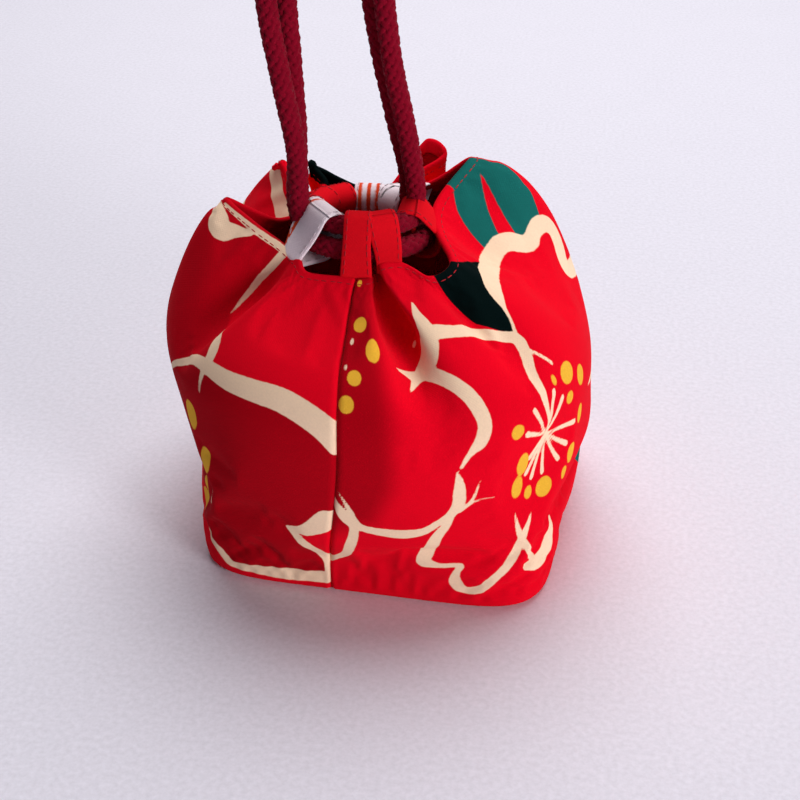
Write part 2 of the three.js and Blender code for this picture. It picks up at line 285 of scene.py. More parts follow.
def smooth_step(low, high, value):
    """0 at low, 1 at high, and an even curve between; low may be the larger number."""
    t = np.clip((value - low) / (high - low), 0, 1)
    return t * t * (3 - 2 * t)


def outward(directions):
    """Flat unit vectors in the given directions, in degrees."""
    turn = np.radians(np.asarray(directions, float))
    return np.stack([np.cos(turn), np.sin(turn), np.zeros_like(turn)], axis=-1)


def ring_points(ring, directions):
    """Points of a rounded ring, a superellipse round its own middle, at height 0."""
    rays = outward(directions)
    across = np.abs(rays[:, 0]) / (ring["width"] / 2)
    along = np.abs(rays[:, 1]) / (ring["depth"] / 2)
    reach = (across ** ring["squareness"] + along ** ring["squareness"]) ** (-1 / ring["squareness"])
    return rays * reach[:, None] + np.array([*ring["middle"], 0.0])


def turned(points, degrees):
    """The points turned about the upright axis."""
    turn = math.radians(degrees)
    x, y, z = np.moveaxis(points, -1, 0)
    return np.stack([
        x * math.cos(turn) - y * math.sin(turn), x * math.sin(turn) + y * math.cos(turn), z
    ], axis=-1)


def bezier(a, b, c, d, t):
    """Cubic curves from a to d, read at the steps t: one row of points for each step."""
    t = np.asarray(t)[:, None, None]
    return (1 - t) ** 3 * a + 3 * (1 - t) ** 2 * t * b + 3 * (1 - t) * t**2 * c + t**3 * d


def rim_points(directions):
    """The gathered rim of the mouth."""
    knots = np.array(sorted(RIM.values()))
    return closed_spline(knots[:, 0], knots[:, 1:], directions, 360)


def wall_grid(directions, heights):
    """The wall from the base edge (height 0) over the belly to the rim (height 1), row by row."""
    away = outward(directions)
    up = np.array([0.0, 0.0, 1.0])
    lean = np.sin(np.radians(directions))
    foot = turned(ring_points(BASE_RING, directions + BASE_LEAN * lean), BASE_TURN) + BASE_CURL * up
    belly = ring_points(BELLY_RING, directions - BELLY_LEAN * lean)
    belly[:, 2] = BELLY_HEIGHT - BELLY_TILT * belly[:, 0]
    rim = rim_points(directions)
    gathered = np.linalg.norm((belly - rim)[:, :2], axis=1)[:, None]
    heights = np.asarray(heights)
    low = heights[heights < BELLY_SHARE] / BELLY_SHARE
    high = (heights[heights >= BELLY_SHARE] - BELLY_SHARE) / (1 - BELLY_SHARE)
    lifted = foot + BASE_RISE * up + BASE_FLARE * away
    fullness = RIGHT_FULLNESS * away[:, :1]
    lower = bezier(foot, lifted, belly - (BELLY_HANDLE_DOWN + fullness) * up, belly, low)
    names = sorted(RIM, key=lambda name: RIM[name])
    reaches = [(RIM_REACH.get(name, SHOULDER_REACH),) for name in names]
    reach = closed_spline([RIM[name][0] for name in names], reaches, directions, 360)
    drop = SHOULDER_DROP + STANDING_DROP * (SHOULDER_REACH - reach)
    shoulder = rim + reach * gathered * away - drop * up
    upper = bezier(belly, belly + (BELLY_HANDLE_UP + fullness) * up, shoulder, rim, high)
    return np.concatenate([lower, upper])


def finer(grid, times):
    """The grid with `times` as many steps each way, on smooth curves. Columns close on themselves."""
    def cubic(a, b, c, d, t):
        return b + 0.5 * t * (c - a + t * (2 * a - 5 * b + 4 * c - d + t * (3 * (b - c) + d - a)))
    steps = np.arange(times) / times
    around = [cubic(np.roll(grid, 1, 1), grid, np.roll(grid, -1, 1), np.roll(grid, -2, 1), t) for t in steps]
    rows, columns = grid.shape[:2]
    wide = np.stack(around, axis=2).reshape(rows, columns * times, 3)
    padded = np.concatenate([2 * wide[:1] - wide[1:2], wide, 2 * wide[-1:] - wide[-2:-1]])
    upwards = [cubic(padded[:-3], padded[1:-2], padded[2:-1], padded[3:], t) for t in steps]
    tall = np.stack(upwards, axis=1).reshape((rows - 1) * times, columns * times, 3)
    return np.concatenate([tall, wide[-1:]])


def grid_normals(grid):
    """Outward unit normals of a closed wall grid."""
    around = np.roll(grid, -1, 1) - np.roll(grid, 1, 1)
    upwards = np.gradient(grid, axis=0)
    return unit(np.cross(around, upwards))


# Meshes and objects

def add_object(name, bm, material=None):
    """A finished piece at the origin, with smooth faces."""
    mesh = bpy.data.meshes.new(name)
    for face in bm.faces:
        face.smooth = True
    bm.to_mesh(mesh)
    bm.free()
    piece = bpy.data.objects.new(name, mesh)
    bpy.context.collection.objects.link(piece)
    if material is not None:
        mesh.materials.append(material)
    return piece


def sheet_mesh(points, flat, layers=None):
    """A grid of faces on rows and columns of points in millimetres. Its UV map has the flat places, and
    each layer is a number stored at every point."""
    rows, columns = points.shape[:2]
    bm = bmesh.new()
    bmesh.ops.create_grid(bm, x_segments=columns - 1, y_segments=rows - 1, size=1)
    bm.verts.ensure_lookup_table()
    start = np.array([vert.co for vert in bm.verts])
    column = np.rint((start[:, 0] + 1) / 2 * (columns - 1)).astype(int)
    row = np.rint((start[:, 1] + 1) / 2 * (rows - 1)).astype(int)
    placed = points[row, column] * MM
    for vert, place in zip(bm.verts, placed):
        vert.co = place
    for name, values in (layers or {}).items():
        layer = bm.verts.layers.float.new(name)
        for vert, value in zip(bm.verts, values[row, column]):
            vert[layer] = value
    uv = bm.loops.layers.uv.new("cloth")
    spots = flat[row, column] * MM
    for face in bm.faces:
        for loop in face.loops:
            loop[uv].uv = spots[loop.vert.index]
    return bm


def thicken(piece, thickness, offset=-1.0):
    """Gives a sheet its thickness."""
    solid = piece.modifiers.new("thickness", "SOLIDIFY")
    solid.thickness = thickness
    solid.offset = offset
    solid.use_even_offset = False


def settle(piece, slot, *nodes):
    """The piece rides on the body and stands for the frame's nodes. The slot is not used."""
    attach(piece, BODY)
    if nodes:
        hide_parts(*nodes)


# Materials

THREAD_PITCH = 0.45 * MM
CLOTH_RELIEF = 0.06 * MM
YARN_RELIEF = 0.12 * MM
# How far the edge of the print wanders and how soft it is, in millimetres
PRINT_WANDER = 0.35
PRINT_SOFTNESS = 0.3


class Socket:
    """A shader value that Python sums can be written with."""

    def __init__(self, finish, socket):
        self.finish = finish
        self.socket = socket

    def math(self, operation, first, second=None):
        """A sum with one or two values."""
        values = {0: first}
        if second is not None:
            values[1] = second
        return self.finish.node("ShaderNodeMath", {"operation": operation}, values)

    def __add__(self, other):
        return self.math("ADD", self, other)

    def __radd__(self, other):
        return self.math("ADD", other, self)

    def __sub__(self, other):
        return self.math("SUBTRACT", self, other)

    def __rsub__(self, other):
        return self.math("SUBTRACT", other, self)

    def __mul__(self, other):
        return self.math("MULTIPLY", self, other)

    def __rmul__(self, other):
        return self.math("MULTIPLY", other, self)

    def __truediv__(self, other):
        return self.math("DIVIDE", self, other)

    def __rtruediv__(self, other):
        return self.math("DIVIDE", other, self)

    def clamped(self):
        """The value held between 0 and 1."""
        return self.finish.node("ShaderNodeClamp", {}, {"Value": self})

    def sine(self):
        """The sine of the value."""
        return self.math("SINE", self)


class Finish:
    """One material and its nodes."""

    def __init__(self, name):
        self.material = bpy.data.materials.new(name)
        self.material.use_nodes = True
        self.tree = self.material.node_tree
        self.shader = self.tree.nodes["Principled BSDF"]

    def node(self, kind, settings, inputs, output=0):
        """Adds a node, sets it up, feeds its sockets and returns one of its outputs."""
        added = self.tree.nodes.new(kind)
        for key, value in settings.items():
            setattr(added, key, value)
        for key, value in inputs.items():
            self.feed(added.inputs[key], value)
        return Socket(self, added.outputs[output])

    def feed(self, socket, value):
        """Links or sets one socket."""
        if isinstance(value, Socket):
            self.tree.links.new(value.socket, socket)
        elif isinstance(value, (tuple, list)) and len(value) == 3 and socket.type == "RGBA":
            socket.default_value = (*value, 1.0)
        else:
            socket.default_value = value

    def set(self, **values):
        """Sets or links the shader's own sockets."""
        for key, value in values.items():
            self.feed(self.shader.inputs[key.replace("_", " ")], value)

    def mix(self, factor, first, second, blend="MIX"):
        """A colour between two, or one laid on the other."""
        settings = {"data_type": "RGBA", "blend_type": blend}
        return self.node("ShaderNodeMix", settings, {"Factor": factor, "A": first, "B": second}, "Result")

    def attribute(self, name):
        """A number stored on the mesh."""
        return self.node("ShaderNodeAttribute", {"attribute_name": name}, {}, "Fac")

    def noise(self, vector, scale, detail=2.0, roughness=0.5):
        """Soft noise."""
        inputs = {"Vector": vector, "Scale": scale, "Detail": detail, "Roughness": roughness}
        return self.node("ShaderNodeTexNoise", {}, inputs, "Fac")

    def bump(self, height, distance, strength):
        """A surface relief for the shader's normal."""
        return self.node(
            "ShaderNodeBump", {}, {"Height": height, "Distance": distance, "Strength": strength}, "Normal"
        )


def cloth_coordinates(finish):
    """The cloth's own flat places."""
    return finish.node("ShaderNodeUVMap", {"uv_map": "cloth"}, {})


def weave_height(finish, place):
    """Relief of a plain weave."""
    parts = finish.node("ShaderNodeSeparateXYZ", {}, {"Vector": place})
    along = Socket(finish, parts.socket.node.outputs["X"])
    across = Socket(finish, parts.socket.node.outputs["Y"])
    turns = math.pi / THREAD_PITCH
    warp = (along * turns).sine()
    weft = (across * turns).sine()
    return warp * weft


def cloth_finish(name, colour, prints=(), deeper=None):
    """Woven cloth with a fine uneven weave, plain or printed in further colours (attribute, colour), over
    a ground that may turn deeper by the share in the attribute deep_and_shade_share: deeper print on the left
    petals, and painted shade beside the front seam and in the top of the left panel."""
    finish = Finish(name)
    place = cloth_coordinates(finish)
    patch = finish.noise(place, scale=60.0, detail=3.0)
    slub = finish.noise(place, scale=1400.0)
    edge = (finish.noise(place, scale=700.0) - 0.5) * PRINT_WANDER
    # The deeper ground: print in the left petals, painted shade beside the front seam and in the top of the
    # left panel
    if deeper:
        colour = finish.mix(finish.attribute("deep_and_shade_share"), colour, deeper)
    for attribute, ink in prints:
        inside = (0.5 - (finish.attribute(attribute) + edge) / PRINT_SOFTNESS).clamped()
        colour = finish.mix(inside, colour, ink)
    shade = 0.84 + (patch * 0.5 + slub * 0.5) * 0.3
    finish.set(
        Base_Color=finish.mix(1.0, colour, shade, "MULTIPLY"),
        Roughness=0.86 + slub * 0.1,
        Normal=finish.bump(weave_height(finish, place) * 0.4 + slub, CLOTH_RELIEF, strength=0.55),
        Sheen_Weight=0.01,
        Sheen_Roughness=0.5,
        Specular_IOR_Level=0.03,
    )
    return finish.material


def cord_finish(name, colour):
    """Spun yarn: dull, slightly fuzzy and uneven."""
    finish = Finish(name)
    place = finish.node("ShaderNodeTexCoord", {}, {}, "Object")
    fibre = finish.noise(place, scale=2600.0, detail=3.0, roughness=0.7)
    patch = finish.noise(place, scale=160.0)
    shade = (fibre * 0.6 + patch * 0.4).clamped()
    deep = tuple(0.6 * part for part in colour)
    pale = tuple(1.4 * part for part in colour)
    finish.set(
        Base_Color=finish.mix(shade, deep, pale),
        Roughness=0.9,
        Normal=finish.bump(fibre, YARN_RELIEF, strength=0.7),
        Sheen_Weight=0.04,
        Sheen_Roughness=0.45,
        Specular_IOR_Level=0.08,
    )
    return finish.material


def thread_finish(name, colour):
    """Sewing thread."""
    finish = Finish(name)
    place = finish.node("ShaderNodeTexCoord", {}, {}, "Object")
    ply = finish.noise(place, scale=3000.0, detail=1.0)
    deep = tuple(0.7 * part for part in colour)
    finish.set(Base_Color=finish.mix(ply, deep, colour), Roughness=0.7, Specular_IOR_Level=0.3)
    return finish.material


def floor_finish(name, colour):
    """Pale paper with a fine grain."""
    finish = Finish(name)
    place = finish.node("ShaderNodeTexCoord", {}, {}, "Object")
    mottle = finish.noise(place, scale=40.0, detail=4.0)
    grain = finish.noise(place, scale=650.0, detail=3.0, roughness=0.6)
    shade = 0.985 + (mottle - 0.5) * 0.03 + (grain - 0.5) * 0.32
    finish.set(
        Base_Color=finish.mix(1.0, colour, shade, "MULTIPLY"),
        Roughness=0.8,
        Specular_IOR_Level=0.2,
    )
    return finish.material


# Cords

# Knots: the axis of each, its lowest turn, and how its turns grow in degrees to their full radius
KNOTS = {"left": (-21.5, -4.1), "right": (2.5, 6.2)}
KNOT_LOW = 78.6
KNOT_PITCH = 6.3
KNOT_RADIUS = 6.3
KNOT_TURNS = 2.5
KNOT_STEP = 24.0
KNOT_GROWTH = 130
TAIL_TOP = 105.0
TAIL_SPREAD = 3.5
COURSE_STEP = 10
CORD_STEP = 0.6
# Braid: strands each way, then shares of the cord's diameter
BRAID_STRANDS = 6
STRAND_RADIUS = 0.175
STRAND_RISE = 0.04
END_TAPER = 0.35
END_WIDTH = 0.45


def ring_height(ring, directions):
    """Height of a cord ring over the mouth, which sags towards the back."""
    return ring["rise"] - RING_SAG * (1 + np.sin(np.radians(directions))) / 2


def knot_line(side, start):
    """The end of a cord, wound round the other end, and its tail."""
    axis = np.array([*KNOTS[side], 0.0])
    first = start - axis
    turn = math.degrees(math.atan2(first[1], first[0]))
    turning = 360 * math.ceil((turn + 360 * KNOT_TURNS) / 360) - turn
    angles = np.arange(0, turning + 1, KNOT_STEP)
    grown = smooth_step(0, KNOT_GROWTH, angles)
    radius = np.hypot(first[0], first[1]) * (1 - grown) + KNOT_RADIUS * grown
    points = axis + outward(turn + angles) * radius[:, None]
    points[:, 2] = KNOT_LOW + angles / 360 * KNOT_PITCH
    top = points[-1, 2]
    tail = axis + np.array([
        [KNOT_RADIUS - 0.6, 3.0, top + 3.6],
        [TAIL_SPREAD + 1.4, 3.4, TAIL_TOP - 3],
        [TAIL_SPREAD, 3.2, TAIL_TOP],
    ])
    return np.concatenate([points, tail])


def cord_route(side):
    """A cord's line in millimetres: tail, knot, down one strand, round the mouth, up the other, knot."""
    ring = OUTER_RING if side == "left" else INNER_RING
    first, second = (np.array(strand) for strand in STRANDS[side])
    lifts = []
    for direction, out, up in CORD_LIFTS[side]:
        lift = outward(direction) * (ring["radius"] + out * CORD_DIAMETER)
        lift[2] = ring_height(ring, direction) + up * CORD_DIAMETER
        lifts.append(lift)
    start, end = CORD_COURSES[side]
    turns = np.linspace(start, end, round(abs(end - start) / COURSE_STEP) + 1)
    course = outward(turns) * ring["radius"]
    course[:, 2] = ring_height(ring, turns)
    axis = np.array([*KNOTS[side], 0.0])
    tail = axis + np.array([
        [-TAIL_SPREAD, -0.6, TAIL_TOP], [-TAIL_SPREAD + 1, -0.4, TAIL_TOP - 4], [-0.3, 0, TAIL_TOP - 11],
        [0, 0, TAIL_TOP - 17], [0, 0, TAIL_TOP - 22],
    ])
    knot = knot_line(side, second[0])
    parts = [tail, first[1:], lifts[:1], course, lifts[1:], second[:0:-1], knot]
    return MOUTH + np.concatenate(parts)


def transported_frames(line):
    """Two directions square to the line at each of its points, with no sudden turn."""
    tangents = unit(np.gradient(line, axis=0))
    side = np.cross(tangents[0], [0.0, 1.0, 0.2])
    sides = []
    for tangent in tangents:
        side = side - tangent * side.dot(tangent)
        side = side / np.linalg.norm(side)
        sides.append(side)
    sides = np.array(sides)
    return sides, np.cross(tangents, sides)


def braid_mesh(name, line, diameter, lay):
    """A braided cord: six strands each way round, over and under each other in turn."""
    sides, others = transported_frames(line)
    lengths = lengths_along(line)
    turn = 2 * math.pi * lengths / lay
    strand_radius = STRAND_RADIUS * diameter
    weave = STRAND_RISE * diameter
    middle = diameter / 2 - strand_radius - weave
    from_end = np.minimum(lengths, lengths[-1] - lengths)
    closing = END_WIDTH + (1 - END_WIDTH) * np.sqrt(smooth_step(0, END_TAPER * diameter, from_end))
    curve = bpy.data.curves.new(name, "CURVE")
    curve.dimensions = "3D"
    curve.bevel_depth = strand_radius * MM
    curve.bevel_resolution = 1
    curve.use_fill_caps = True
    for way in (1, -1):
        for strand in range(BRAID_STRANDS):
            angle = way * turn + strand * 2 * math.pi / BRAID_STRANDS
            radius = (middle + way * weave * np.cos(BRAID_STRANDS * turn)) * closing
            points = line + radius[:, None] * (
                np.cos(angle)[:, None] * sides + np.sin(angle)[:, None] * others
            )
            spline = curve.splines.new("POLY")
            spline.points.add(len(points) - 1)
            spline.points.foreach_set("co", np.column_stack([points * MM, np.ones(len(points))]).ravel())
            spline.points.foreach_set("radius", closing)
    made = bpy.data.objects.new(name + "_curve", curve)
    bpy.context.collection.objects.link(made)
    mesh = bpy.data.meshes.new_from_object(made.evaluated_get(bpy.context.evaluated_depsgraph_get()))
    bpy.data.objects.remove(made)
    bpy.data.curves.remove(curve)
    mesh.name = name
    for polygon in mesh.polygons:
        polygon.use_smooth = True
    piece = bpy.data.objects.new(name, mesh)
    bpy.context.collection.objects.link(piece)
    return piece


class POUCH_OT_cords(bpy.types.Operator):
    """Makes the two braided drawcords with their knots"""
    bl_idname = "pouch.cords"
    bl_label = "Cords"

    def execute(self, context):
        cord = context.scene.pouch_cord
        finish = cord_finish("braided_cord", tuple(cord.burgundy))
        for side in ("left", "right"):
            line = open_spline(cord_route(side), CORD_STEP)
            piece = braid_mesh(side + "_braided_cord", line, cord.diameter / MM, cord.lay_length / MM)
            piece.data.materials.append(finish)
            settle(piece, "cord", side + "_cord", side + "_knot")
        return {"FINISHED"}


# Print: strokes, dots and leaves in flat places, in millimetres. The first number goes round the pouch
# from the front seam, to the right on the right panel and to the left (negative) on the left panel; the
# second goes up from the base edge. The last number of a stroke's point is the width there.

LEFT_STROKES = {
    "broad petal": (
        (-66, 46, 0.5), (-60, 53, 1.5), (-54, 59.5, 2), (-46, 66.5, 3.5), (-40, 67.5, 4.5), (-32, 67, 6),
        (-23.5, 67, 7), (-15.5, 66.5, 7.5), (-8, 63.5, 7.5), (-2.5, 60, 7.5), (1, 56.5, 7.5),
    ),
    "broad petal blade": ((-40.5, 67.5, 2.5), (-40, 70.5, 3.2), (-41.5, 75.5, 4), (-46, 80.5, 0.5)),
    "broad petal tail": ((-40.5, 67, 2), (-40.5, 58.5, 0.5)),
    "crease blade": (
        (-50, 85.5, 0.4), (-50.5, 91, 1.2), (-50.5, 99, 2), (-49.5, 104.5, 2.8), (-48.5, 113, 4.5),
    ),
    "rim edge": ((-72, 110.5, 2), (-62, 110.5, 3), (-49, 111, 3)),
    "rim blot": ((-75, 108, 4), (-71, 105, 6), (-68, 100.5, 6), (-66, 104, 5), (-62, 108, 2.5)),
    "back band": ((-121, 106, 8), (-115, 104, 7), (-107, 104.5, 7)),
    "base band": (
        (-42, 9, 1), (-36, 5.5, 2), (-32, 2.5, 2), (-25, 2.5, 3), (-15, 2.5, 4), (-6, 3, 4), (1, 3.5, 5),
    ),
    "lower arm": ((-13.5, 23.5, 1), (-9.5, 20.5, 2.6), (-4, 15, 3), (-0.5, 10, 3.4), (1, 5, 5.5)),
    "upper arm": ((-13.5, 23.7, 0.5), (-8, 24.5, 4), (-1.5, 29.5, 8)),
    "stamen dash": ((-41, 27, 1.3), (-38.5, 21.5, 1.1)),
    "far top petal": (
        (-88, 56, 0.5), (-86, 68, 4), (-90, 79, 6), (-100, 84, 6.5), (-108, 77, 5), (-118, 80, 6),
        (-127, 72, 6), (-124, 60, 4.5), (-112, 52, 2.5), (-98, 46, 0.5),
    ),
    "far low petal": (
        (-88, 37, 0.5), (-104, 41, 3), (-120, 42, 6), (-130, 34, 6.5), (-125, 25, 5), (-130, 15, 5.5),
        (-122, 6, 5), (-106, 8, 3), (-88, 21, 0.5),
    ),
}
RIGHT_STROKES = {
    "branch spike": (
        (40.5, 97, 0.5), (39, 93, 3), (38.5, 89.5, 5), (37, 86, 5.5), (33, 82.5, 7), (29.5, 80.5, 7),
        (28, 79, 5),
    ),
    "branch blade": ((20, 81, 0.5), (22.5, 80.5, 2), (26, 78.5, 4)),
    "branch spur": ((28, 80.5, 5), (25.5, 78, 3), (22.5, 73.5, 0.5)),
    "centre petal": (
        (28, 79, 4.5), (34.5, 75, 4.7), (38.5, 70.5, 4.6), (40.5, 65.5, 4.4), (41, 61.5, 4), (39.5, 58, 3.6),
        (36.5, 55, 1.8), (34, 51.5, 0.9),
    ),
    "centre petal foot": (
        (33, 50, 0.8), (34, 47, 2.6), (34.5, 44, 3.6), (35, 40, 3.7), (33.5, 36, 2.9), (30.5, 32.5, 2.5),
        (27.5, 29.5, 3), (22.5, 28, 3.6), (16, 28, 3), (9, 29, 2.4), (6.5, 31, 2.5), (5, 34.5, 1.6),
        (1, 41, 0.4),
    ),
    "seam leaf": ((-1, 39, 0.6), (1.5, 35, 2.6), (4, 32, 3.5), (6, 30, 3)),
    "seam hook": ((6.5, 29.5, 2.5), (7, 26.5, 3), (6.5, 21, 3.5), (5, 15.5, 3), (0, 10.5, 2)),
    "right petal edge": (
        (40.5, 87.2, 4.4), (48, 86.4, 3.7), (58.5, 87.8, 5), (64, 84.4, 4.2), (67, 81.3, 3.8),
        (66, 77, 3.4), (63, 71, 3), (62, 65, 2.6), (63.5, 56.5, 0.8),
    ),
    "petal dash": ((67, 77, 1), (70.5, 70, 1.1)),
    "heart petal": (
        (67.5, 81.8, 1.4), (70, 85.3, 0.9), (73, 90.2, 1.4), (76, 94.2, 4.4), (79, 96.6, 6.4),
        (82.5, 97.4, 6.8),
        (88, 96.3, 6), (98, 94.5, 5.2), (104, 93.3, 4.8), (107.5, 92, 5.4), (110.5, 89.4, 6),
        (112.5, 87, 4.8),
        (115, 86.2, 4.4), (117.5, 86.5, 4.2), (120.5, 86.3, 4.6), (123.5, 85, 4.6), (125.2, 82.6, 5.4),
        (125, 80.2, 6), (123.5, 78, 6), (121, 76, 5.4), (120, 74.6, 5), (121, 72.8, 4.4), (128, 70.3, 4.5),
    ),
    "far petal": (
        (128, 70.5, 4.5), (137, 66, 5), (140, 57, 6), (134, 50, 6), (122, 49, 4.5), (108, 52, 3),
        (92, 55, 0.6),
    ),
    "low left petal": (
        (34.5, 37, 1), (33.5, 32, 2.7), (32, 27, 3.5), (31.5, 17.5, 4.6), (31, 15, 4), (35.5, 13.7, 1.7),
        (42.5, 14, 1.5), (41.5, 12, 2), (42, 7, 3.5), (45, 4.5, 2.5), (48.5, 5.5, 2.5), (51.5, 10, 2.5),
        (55, 15, 2.6), (57, 20, 2.7), (57.5, 25.5, 2.3), (59.5, 32, 0.5),
    ),
    "low prong": ((53.5, 34, 0.5), (56, 26.5, 1.6), (59.5, 20, 2), (63, 14, 2)),
    "low right petal": ((70, 23.8, 2), (69, 18.5, 3.2), (68, 13, 4.5), (64.5, 11.5, 4.5), (60.5, 12, 2)),
    "thin tail": ((36, 37.5, 1.2), (38.5, 41, 1.1), (40, 47.5, 0.4)),
    "long thin tail": ((36.5, 38, 0.8), (40, 41, 0.6), (45.5, 41.5, 0.4)),
}
# Rays of the two large blossoms: the middle, then the outer end of each ray
RIGHT_RAYS = ((62.5, 54), (
    (57.5, 61.5), (54.5, 56.5), (57.5, 49), (57, 44.5), (59.5, 42.5), (64, 42.5), (70.5, 44), (74, 47),
    (77, 52), (70, 60.5), (66.5, 63.5),
))
LEFT_RAYS = ((-66, 33), (
    (-56, 42), (-53, 33), (-58, 22), (-66, 18), (-75, 22), (-80, 32), (-77, 43), (-68, 48),
))
# Stamen dots: place, then half width and half height
RIGHT_DOTS = (
    (4.8, 76, 2.2, 2.4), (2.6, 68, 2.2, 2.6), (11.3, 84.8, 2.7, 3.9), (6, 94.3, 3, 2.6),
    (3, 110.5, 1.5, 1.5),
    (75, 65, 3.5, 2.8), (68, 66, 1, 1.4), (74, 59, 2, 1.4), (51, 58, 2.2, 1.7), (55, 48, 2.2, 3.2),
    (54, 41.5, 2, 3.2), (58.5, 38.5, 1.4, 2), (64.5, 38, 3, 2.9), (73.5, 38.5, 1.5, 2), (77, 43, 2.4, 3),
    (82, 52, 2.2, 2.4), (83, 61, 2.6, 2.4),
)
LEFT_DOTS = (
    (-46, 46.5, 2.6, 5), (-41, 34, 2.1, 4.2), (-48, 20, 2, 3), (-50, 14, 4, 3), (-66, 9, 2.6, 2.4),
    (-80, 14, 2.2, 2.6), (-90, 30, 2.6, 2.4), (-84, 46, 2.2, 2.8),
)
CREAM_DROPS = ((3, 88.6, 0.7, 1.2), (1.9, 79.2, 0.5, 1.0), (26, 89, 0.6, 1.0))
# Leaves: outlines, and the red veins cut out of them
RIGHT_LEAF = (
    (134, 120), (121, 120), (117.5, 110.5), (110, 105), (105, 100), (101.5, 95.5), (106, 92), (110.5, 88),
    (116, 86), (124.5, 87), (129, 92), (133, 102),
)
RIGHT_VEIN = ((126, 107.5), (109.5, 93.5), (113, 89.8))
DARK_LEAF = (
    (76, 113), (63, 113), (61.5, 104), (61.5, 92), (65.5, 86), (68, 83), (70, 85.3), (73, 90.2), (79, 97),
    (90, 96.5), (87.5, 100.8),
)
BACK_LEAF = ((-176, 108), (-170, 120), (-142, 120), (-146, 106), (-158, 101))
# Where the ground is deeper: the printed petals round the middle of the left blossom; painted shade in the
# top of the left panel beside the crease blade; and softly beside the front seam on the right, painted shade
LEFT_PETAL = (
    (-66, 46), (-60, 53), (-54, 59.5), (-46, 66), (-40, 67.5), (-24, 67), (-15.5, 66.5), (-8, 63.5), (4, 55),
    (4, 30), (-1.5, 29.5), (-13.5, 23.6), (-4, 15.5), (1, 3.5), (-25, 2.5), (-32, 2.5), (-42, 9), (-66, 33),
)
# Painted shade: the top of the left panel, from the crease blade to the far top petal and up to the rim, in
# the deeper red
LEFT_CREASE_SHADE = (
    (-48.5, 122), (-50.3, 99), (-50.2, 86), (-46, 80.5), (-41.5, 75.5), (-40.5, 67.5), (-46, 66), (-54, 59.5),
    (-60, 53), (-66, 46), (-66, 33), (-88, 56), (-86, 68), (-90, 79), (-100, 84), (-106, 104), (-106, 122),
)
FAR_PETALS = ("far top petal", "far low petal")
# How much of the deeper red the painted shade in the top of the left panel takes
CREASE_SHADE_SHARE = 0.75
PETAL_EDGE = 0.5
# Painted shade: a soft band of the deeper red beside the front seam on the right, then the soft reach of its
# edge
SEAM_SHADE = ((-3, 122), (13, 122), (14, 85), (14, 60), (15, 45), (12, 32), (-3, 24))
SEAM_SHADE_EDGE = (5, -4)
# Blossoms on the back: middle, reach and turn
BACK_BLOSSOMS = {"right": ((170, 42), 31, 20), "left": ((-161, 62), 29, -12)}
# A petal's outline and the rays and dots in it: share of the reach and degrees aside, and the outline's width
PETAL_OUTLINE = (
    (0.24, -17, 0.02), (0.58, -31, 0.08), (0.92, -25, 0.15), (1.0, -11, 0.17), (0.88, 0, 0.12),
    (1.0, 11, 0.17), (0.92, 25, 0.15), (0.58, 31, 0.08), (0.24, 17, 0.02),
)
PETAL_RAYS = ((0.30, -18), (0.36, 18))
PETAL_DOTS = ((0.5, -9), (0.46, 24))
PETALS = 5
BLOSSOM_DOT = (0.06, 0.07)
# Leaves on the back: foot, tip and half width
BACK_LEAVES = {
    "right": (((128, 12), (104, 30), 9), ((158, 84), (146, 106), 8)),
    "left": (((-142, 30), (-152, 8), 8), ((-132, 62), (-127, 94), 8)),
}
# A leaf's outline: points on each side, and how far its widest place lies towards its foot
LEAF_STEPS = 15
LEAF_LEAN = 0.85
# Shares along a back leaf and across its half width
LEAF_VEIN = ((0, 0.14), (0.8, 0), (0, -0.14))
# Places farther than this from a shape are all alike, and a stroke is drawn in steps of this length
PRINT_MARGIN = 6.0
STROKE_STEP = 0.4
PLACES_AT_ONCE = 2000


def stroke_distance(places, strokes):
    """How far each flat place lies outside the nearest stroke; inside one it is negative."""
    spots = places.reshape(-1, 2)
    nearest = np.full(len(spots), PRINT_MARGIN)
    for points in strokes:
        line = open_spline(points, STROKE_STEP)
        low = line[:, :2].min(0) - PRINT_MARGIN
        high = line[:, :2].max(0) + PRINT_MARGIN
        close = np.flatnonzero(((spots > low) & (spots < high)).all(1))
        if len(close) == 0:
            continue
        for part in np.array_split(close, max(1, len(close) // PLACES_AT_ONCE)):
            gaps = np.linalg.norm(spots[part][:, None] - line[None, :, :2], axis=2) - line[None, :, 2] / 2
            nearest[part] = np.minimum(nearest[part], gaps.min(1))
    return nearest.reshape(places.shape[:-1])


def dot_distance(places, dots):
    """How far each flat place lies outside the nearest dot."""
    nearest = np.full(places.shape[:-1], PRINT_MARGIN)
    for along, up, half_width, half_height in dots:
        offset = (places - (along, up)) / (half_width, half_height)
        gap = (np.linalg.norm(offset, axis=-1) - 1) * min(half_width, half_height)
        nearest = np.minimum(nearest, gap)
    return nearest


def patch_distance(places, outline):
    """How far each flat place lies outside a closed outline."""
    outline = np.asarray(outline, float)
    spots = places.reshape(-1, 2)
    nearest = np.full(len(spots), PRINT_MARGIN)
    inside = np.zeros(len(spots), bool)
    for start, end in zip(outline, np.roll(outline, -1, 0)):
        edge = end - start
        share = np.clip((spots - start) @ edge / (edge @ edge), 0, 1)
        nearest = np.minimum(nearest, np.linalg.norm(spots - start - share[:, None] * edge, axis=1))
        crossed = (start[1] > spots[:, 1]) != (end[1] > spots[:, 1])
        rise = edge[1] if edge[1] != 0 else 1e-9
        inside ^= crossed & (spots[:, 0] < start[0] + (spots[:, 1] - start[1]) / rise * edge[0])
    return np.where(inside, -nearest, nearest).reshape(places.shape[:-1])


def ray_strokes(middle, ends, inner=0.7, outer=1.5):
    """Thin strokes from the middle of a blossom to the ray ends, wider outwards."""
    strokes = []
    for end in ends:
        half = tuple((a + b) / 2 for a, b in zip(middle, end))
        strokes.append(((*middle, inner), (*half, (inner + outer) / 2), (*end, outer)))
    return strokes


